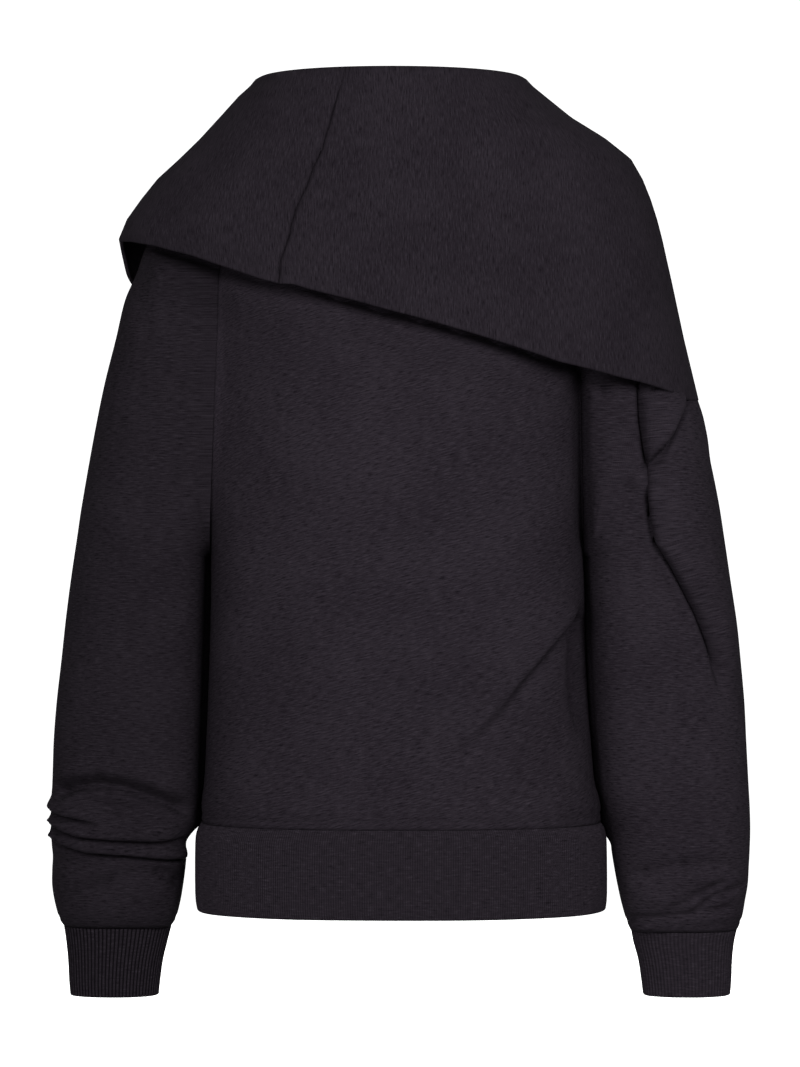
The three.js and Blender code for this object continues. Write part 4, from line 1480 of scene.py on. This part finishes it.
@dataclass
class Collar:
    """The collar's sheet: up from the neckline, over its fold and down to its slanting edge.

    stand and fall are its sections inside and outside the fold, both up to the fold. edge pairs
    angles round the neck with heights of the lower edge, and the seams pair heights with angles.
    groove is how deep a seam lies outside the fold, and ridge how high the cloth stands beside
    it. Angles are degrees from the left over the back, and lengths are millimetres.
    """

    squareness: float = 2.1
    thickness: float = 3.3
    neck_half_width: float = 100.0
    stand_rows: int = 50
    fall_rows: int = 90
    columns_per_degree: float = 1.1
    girth_per_degree: float = 2.1
    groove: float = 2.6
    ridge: float = 0.5
    waves: float = 0.9
    stand: tuple[Section, ...] = table_of(Section, (
        (0.3, -96.0, 96.0, 84.0), (20.0, -102.0, 96.0, 86.0), (42.0, -110.0, 98.0, 90.0),
        (54.0, -114.0, 100.0, 92.0), (59.5, -117.0, 102.5, 94.5), (62.0, -121.0, 106.0, 98.0),
        (59.5, -126.5, 111.0, 102.5),
    ))
    fall: tuple[Section, ...] = table_of(Section, (
        (-240.0, -238.0, 264.0, 137.0), (-217.0, -238.0, 259.5, 137.0),
        (-165.0, -238.0, 247.0, 137.0), (-116.0, -238.0, 236.5, 136.0),
        (-96.0, -241.0, 232.0, 135.5), (-78.0, -244.5, 228.0, 134.5),
        (-61.0, -237.5, 223.6, 133.0), (-43.5, -225.0, 218.0, 131.5),
        (-26.0, -211.0, 211.0, 129.0), (-8.7, -192.0, 201.0, 126.0), (8.7, -174.0, 179.0, 122.5),
        (26.0, -158.0, 150.5, 118.0), (45.0, -141.0, 127.0, 110.0), (54.0, -131.0, 116.0, 105.5),
        (59.5, -126.5, 111.0, 102.5),
    ))
    edge: tuple[tuple[float, float], ...] = (
        (-70, -148), (-45, -131), (-25, -120), (-10, -116), (-4, -108), (2, -88), (8, -80),
        (19, -82), (31, -87), (44, -97), (54, -108.5), (62, -118.5), (66, -122.5), (69, -123),
        (73, -128), (81, -136.5), (90, -148), (105, -167.5), (120, -187.4), (135, -199.6),
        (150, -209), (162, -217), (180, -217), (200, -214), (225, -200), (250, -180), (270, -164),
        (290, -148),
    )
    seam: tuple[tuple[float, float], ...] = (
        (-130, 65), (-105, 66.5), (-80, 70), (-40, 71), (6, 70), (62, 73),
    )
    far_seam: tuple[tuple[float, float], ...] = ((-150, 290), (62, 290))
    creases: tuple[Crease, ...] = (
        Crease(((-60, 40), (-110, -10), (-160, -60), (-205, -84)), 2.0, 22, 26),
        Crease(((10, 50), (40, -20), (90, -90), (150, -170)), -1.6, 36, 40),
        Crease(((60, 48), (120, 0), (180, -80), (225, -180)), 2.4, 28, 34),
        Crease(((-150, 0), (-185, -40), (-215, -72)), -1.8, 16, 18),
        Crease(((-200, -86), (-150, -104), (-100, -118), (-60, -128)), -1.2, 10, 10, start=0.1, end=0.1),
        Crease(((-70, 40), (-120, -20), (-170, -90)), 2.2, 24, 26, side=Side.FRONT),
        Crease(((20, 50), (60, -40), (120, -140)), -2.0, 34, 36, side=Side.FRONT),
        Crease(((80, 40), (150, -30), (210, -130)), 2.4, 28, 30, side=Side.FRONT),
    )

    def sheet_at(self, degrees: Array, row: Array) -> Array:
        """Points of the sheet's outside at angles round it and rows up and over.

        Args:
            degrees: 0 is the left, 90 the back and 180 the right.
            row: up to the stand's rows it is the stand, past them the fall.

        Returns:
            Coordinates in millimetres.
        """
        on_stand = np.clip(row / self.stand_rows, 0.0, 1.0) * (len(self.stand) - 1)
        down = np.clip((row - self.stand_rows) / self.fall_rows, 0.0, 1.0)
        edge = look_up(degrees, *zip(*self.edge))
        top = self.stand[-1].height
        level = top + (edge - top) * down
        keys = column(self.fall, "height")
        parts = {}
        for name in ("height", "left", "right", "depth"):
            rising = along_rows(column(self.stand, name), on_stand)
            falling = look_up(level, keys, column(self.fall, name))
            parts[name] = np.where(row <= self.stand_rows, rising, falling)
        turn = np.radians(degrees)
        x = (parts["left"] + parts["right"]) / 2 - (parts["right"] - parts["left"]) / 2 * power(
            np.cos(turn), 2 / self.squareness
        )
        y = -parts["depth"] * power(np.sin(turn), 2 / self.squareness)
        return np.stack([x, y, parts["height"]], axis=-1)

    def seam_angles(self, seam: Sequence[tuple[float, float]], row: Array, turned: float) -> Array:
        """Angle of a seam at each row, from its height there."""
        level = self.sheet_at(np.full_like(row, seam[0][1] + turned), row)[..., 2]
        return look_up(level, *zip(*seam)) + turned

    def build(self, name: str, start: str, end: str, turned: float) -> bpy.types.Object:
        """Makes one piece of the collar, between two of its seams.

        Args:
            name: the piece's name.
            start: the field that holds its first seam.
            end: the field that holds its last seam.
            turned: degrees to add to the first seam's angles.

        Returns:
            The piece.
        """
        row = self._crowded(np.arange(self.stand_rows + self.fall_rows + 1, dtype=float))
        half_gap = math.degrees(SEAM_GAP / 2 / self.neck_half_width)
        first = self.seam_angles(getattr(self, start), row, turned) + half_gap
        final = self.seam_angles(getattr(self, end), row, 0.0) - half_gap
        # Columns lie closer at both seams
        columns = int(float(np.mean(final - first)) * self.columns_per_degree)
        share = np.linspace(0.0, 1.0, columns + 1)[None, :]
        share = share - 0.1 * np.sin(2 * np.pi * share)
        degrees = first[:, None] + (final - first)[:, None] * share
        points = self.sheet_at(degrees, row[:, None] + np.zeros_like(degrees))
        x, z = points[..., 0], points[..., 2]
        near = points[..., 1] < 0
        grain = self._grain(points, degrees, row[:, None])
        both = [
            crease_field(self.creases, s, x, z)[0] + cloth_waves(x, z, s, self.waves) for s in Side
        ]
        falling = smooth_step(self.stand_rows + 4.0, self.stand_rows + 30.0, row)[:, None]
        facing = smooth_step(0.0, 0.4, np.abs(np.sin(np.radians(degrees))))
        lift = np.where(near, both[0], both[1]) * falling * facing
        run = np.minimum(degrees - first[:, None], final[:, None] - degrees) * self.girth_per_degree
        # The groove of the seam where it shows, and the slight ridge beside it
        lift -= self.groove * bell(run, 1.0) * smooth_step(52.0, 66.0, row)[:, None]
        lift += self.ridge * bell(run - 6.0, 4.0) * falling
        rims = (SEAM_RIM, self.thickness * MM / 2)
        return Wall(name, points * MM, lift * MM, self.thickness * MM, False, rims, grain=grain).build()

    def _grain(self, points: Array, degrees: Array, row: Array) -> Array:
        """Cloth coordinates in metres, upright all round.

        Across is x, moved away from the middle by how far y has come in from the deepest point
        of its row, and runs on the same way round the far side. Up is z, mirrored at the fold.

        Args:
            points: the sheet's grid, in millimetres.
            degrees: the angle of each point.
            row: the row of each point.

        Returns:
            Two numbers for each point.
        """
        x, y, z = np.moveaxis(points, -1, 0)
        deepest = np.abs(y).max(axis=1, keepdims=True)
        widest = np.abs(x).max(axis=1, keepdims=True)
        level = x + np.sign(x) * (deepest - np.abs(y))
        turned = np.where(degrees > 90.0, 2.0, -2.0) * (widest + deepest) - level
        across = np.where(y < 0, level, turned)
        up = np.where(row > self.stand_rows, z, 2 * self.stand[-1].height - z)
        return np.stack([across, up + np.zeros_like(x)], axis=-1) * MM

    def _crowded(self, row: Array) -> Array:
        """Keeps the rows in order but draws them together near the lower edge.

        Args:
            row: evenly spaced rows.

        Returns:
            The moved rows.
        """
        down = np.clip((row - self.stand_rows) / self.fall_rows, 0.0, 1.0)
        bent = np.clip(down + 0.10 * np.sin(np.pi * down) * down, 0.0, 1.0)
        return np.where(row > self.stand_rows, self.stand_rows + self.fall_rows * bent, row)


@dataclass
class Studio:
    """A pale round room, soft lights and the camera, level with the middle of the photograph.

    The room glows for the camera and throws no light or shadow on the cloth. distance is how far
    off the camera stands, level its height and frame_height the height of the picture at the
    garment. bend is the radius of the room's rounded corners. Lengths are metres but for the
    sensor's millimetres.
    """

    distance: float = 3.5
    level: float = -0.3336
    frame_height: float = 0.9283
    sensor: float = 36.0
    floor: float = -1.05
    ceiling: float = 8.0
    radius: float = 9.0
    bend: float = 0.9
    sides: int = 48
    pale: tuple[float, float, float] = (0.93, 0.93, 0.93)
    glow: float = 1.0

    def camera(self) -> None:
        """Makes the camera, square on to the back."""
        data = bpy.data.cameras.new("camera")
        data.sensor_width = self.sensor
        data.lens = self.sensor * self.distance / self.frame_height
        data.clip_end = 50.0
        camera = bpy.data.objects.new("camera", data)
        camera.location = (0.0, -self.distance, self.level)
        camera.rotation_euler = (math.pi / 2, 0.0, 0.0)
        bpy.context.scene.collection.objects.link(camera)
        bpy.context.scene.camera = camera

    def light(self, name: str, place: Vector, aim: Vector, size: float, power_watts: float) -> None:
        """Makes a square area light that faces a point and doesn't show itself.

        Args:
            name: name of the lamp.
            place: where it stands.
            aim: the point that it faces.
            size: its side in metres.
            power_watts: its power.
        """
        data = bpy.data.lights.new(name, "AREA")
        data.size = size
        data.energy = power_watts
        lamp = bpy.data.objects.new(name, data)
        lamp.location = place
        lamp.rotation_euler = (aim - place).to_track_quat("-Z", "Y").to_euler()
        lamp.visible_camera = False
        bpy.context.scene.collection.objects.link(lamp)

    def room(self) -> None:
        """Makes the floor, wall and ceiling: a profile with rounded corners turned about Z."""
        turn = np.linspace(0.0, np.pi / 2, 9)
        inner, low, high = self.radius - self.bend, self.floor + self.bend, self.ceiling - self.bend
        sine, cosine = self.bend * np.sin(turn), self.bend * np.cos(turn)
        reach = np.concatenate([[0.0], inner + sine, inner + cosine, [0.0]])
        rise = np.concatenate([[self.floor], low - cosine, high + sine, [self.ceiling]])
        around = 2 * np.pi * np.arange(self.sides) / self.sides
        x, y = (reach[:, None] * wave(around)[None, :] for wave in (np.cos, np.sin))
        grid = np.stack([x, y, rise[:, None] + np.zeros_like(x)], axis=-1)
        rows, columns = np.meshgrid(np.arange(len(reach) - 1), np.arange(self.sides), indexing="ij")
        here, after = rows * self.sides, (columns + 1) % self.sides
        turns = (here + columns, here + self.sides + columns, here + self.sides + after, here + after)
        faces = np.stack(turns, axis=-1).reshape(-1, 4)
        room = plain_mesh("room", grid, faces.tolist())
        room.visible_diffuse = False
        room.visible_glossy = False
        room.visible_shadow = False
        tree = Nodes("paper")
        inputs = {
            "Base Color": (*self.pale, 1.0),
            "Roughness": 0.9,
            "Emission Color": (1.0, 1.0, 1.0, 1.0),
            "Emission Strength": self.glow,
        }
        shader = tree.add("ShaderNodeBsdfPrincipled", {}, inputs)
        tree.add("ShaderNodeOutputMaterial", {}, {0: shader.outputs[0]})
        room.data.materials.append(tree.material)

    def build(self) -> None:
        """Sets up the camera, the room, the lights and the even light from all round."""
        self.camera()
        self.room()
        middle = Vector((0.0, 0.0, self.level))
        self.light("key_light", Vector((1.15, -1.95, 0.35)), middle, 0.9, 16.0)
        self.light("front_light", Vector((-1.2, -3.9, 0.3)), middle, 2.2, 56.0)
        self.light("top_light", Vector((0.0, -0.8, 2.6)), middle, 2.0, 3.5)
        self.light("back_light", Vector((0.0, 3.9, 0.3)), middle, 1.6, 50.0)
        world = bpy.data.worlds.new("studio")
        world.use_nodes = True
        background = world.node_tree.nodes["Background"]
        background.inputs["Color"].default_value = (1.0, 1.0, 1.0, 1.0)
        background.inputs["Strength"].default_value = 0.15
        bpy.context.scene.world = world
        bpy.context.scene.view_settings.view_transform = "Standard"


@dataclass
class Sweatshirt:
    """All the pieces and their finishes."""

    trunk: Trunk = field(default_factory=Trunk)
    collar: Collar = field(default_factory=Collar)
    left_arm: Arm = field(
        default_factory=lambda: Arm(
            "left_sleeve", -1, -164.0, -150.0, LEFT_SECTIONS, LEFT_CREASES,
            rest_end=-582.0, outer_fade=0.34,
        )
    )
    right_arm: Arm = field(
        default_factory=lambda: Arm(
            "right_sleeve", 1, 159.0, 150.0, RIGHT_SECTIONS, RIGHT_CREASES,
            outer_fade=1.0, corner=5.5,
        )
    )

    def build(self) -> None:
        """Builds and dresses every piece."""
        body_cloth = Heather("body_jersey", slant=-14.0).material()
        front_cloth = Heather("front_jersey", slant=4.0, seed=21.0).material()
        # Painted shade: the left sleeve's jersey is a darker copy (tone 0.72) for the shade on that side
        shaded_left_cloth = Heather("left_sleeve_jersey_shaded", tone=0.72, seed=40.0).material()
        right_cloth = Heather("right_sleeve_jersey", seed=45.0).material()
        collar_cloth = Heather("collar_jersey", slant=90.0, tone=0.85, seed=60.0).material()
        rib_cloth = RibHeather("rib").material()
        cuff_cloth = RibHeather("right_cuff_rib", pitch=CUFF_PITCH, seed=8.0).material()
        # Painted shade: the left cuff's rib is a darker copy (tone 0.75, full shade between the ribs) for
        # the shade on that side
        shaded_rib_cloth = RibHeather("left_cuff_rib_shaded", tone=0.75, furrow_shade=1.0, pitch=CUFF_PITCH).material()
        thread = Yarn().material()
        back, back_sewing = self.trunk.build(Side.BACK, "back")
        front, front_sewing = self.trunk.build(Side.FRONT, "front")
        for panel, sewing, node, cloth in (
            (back, back_sewing, "back_panel", body_cloth),
            (front, front_sewing, "front_panel", front_cloth),
        ):
            stitches = [sew(sewing, thread, Slot.JERSEY)]
            Cut((0.56, 0.62), 0.262, Slot.JERSEY, (node,)).dress(panel, cloth)
        for arm, node, cloth in (
            (self.left_arm, "sleeve_left", shaded_left_cloth),
            (self.right_arm, "sleeve_right", right_cloth),
        ):
            sleeve, sewing = arm.build(self.trunk)
            stitches = [sew(sewing, thread, Slot.JERSEY)]
            Cut((0.46, 0.66), 0.235, Slot.JERSEY, (node,)).dress(sleeve, cloth)
        hem = Band("hem_band", 486, HEM_SECTIONS, squareness=self.trunk.squareness).build()
        Cut((0.95, 0.078), 0.074, Slot.RIB, ("hem_rib",)).dress(hem, rib_cloth)
        for name, sections, node, cloth in (
            ("left_cuff", LEFT_CUFF_SECTIONS, "cuff_left", shaded_rib_cloth),
            ("right_cuff", RIGHT_CUFF_SECTIONS, "cuff_right", cuff_cloth),
        ):
            cuff = Band(name, 70, sections, pitch=CUFF_PITCH, rib_columns=8, ripple=0.2).build()
            Cut((0.235, 0.060), 0.0141, Slot.RIB, (node,)).dress(cuff, cloth)
        left = self.collar.build("left_collar", "far_seam", "seam", -360.0)
        Cut((0.42, 0.30), 0.10, Slot.JERSEY, ("collar_left",)).dress(left, collar_cloth)
        right = self.collar.build("right_collar", "seam", "far_seam", 0.0)
        Cut((0.80, 0.34), 0.22, Slot.JERSEY, ("collar_right",)).dress(right, collar_cloth)


def main() -> None:
    logging.basicConfig(level=logging.INFO, format="%(name)s: %(message)s")
    Studio().build()
    Sweatshirt().build()


if __name__ == "__main__":
    main()
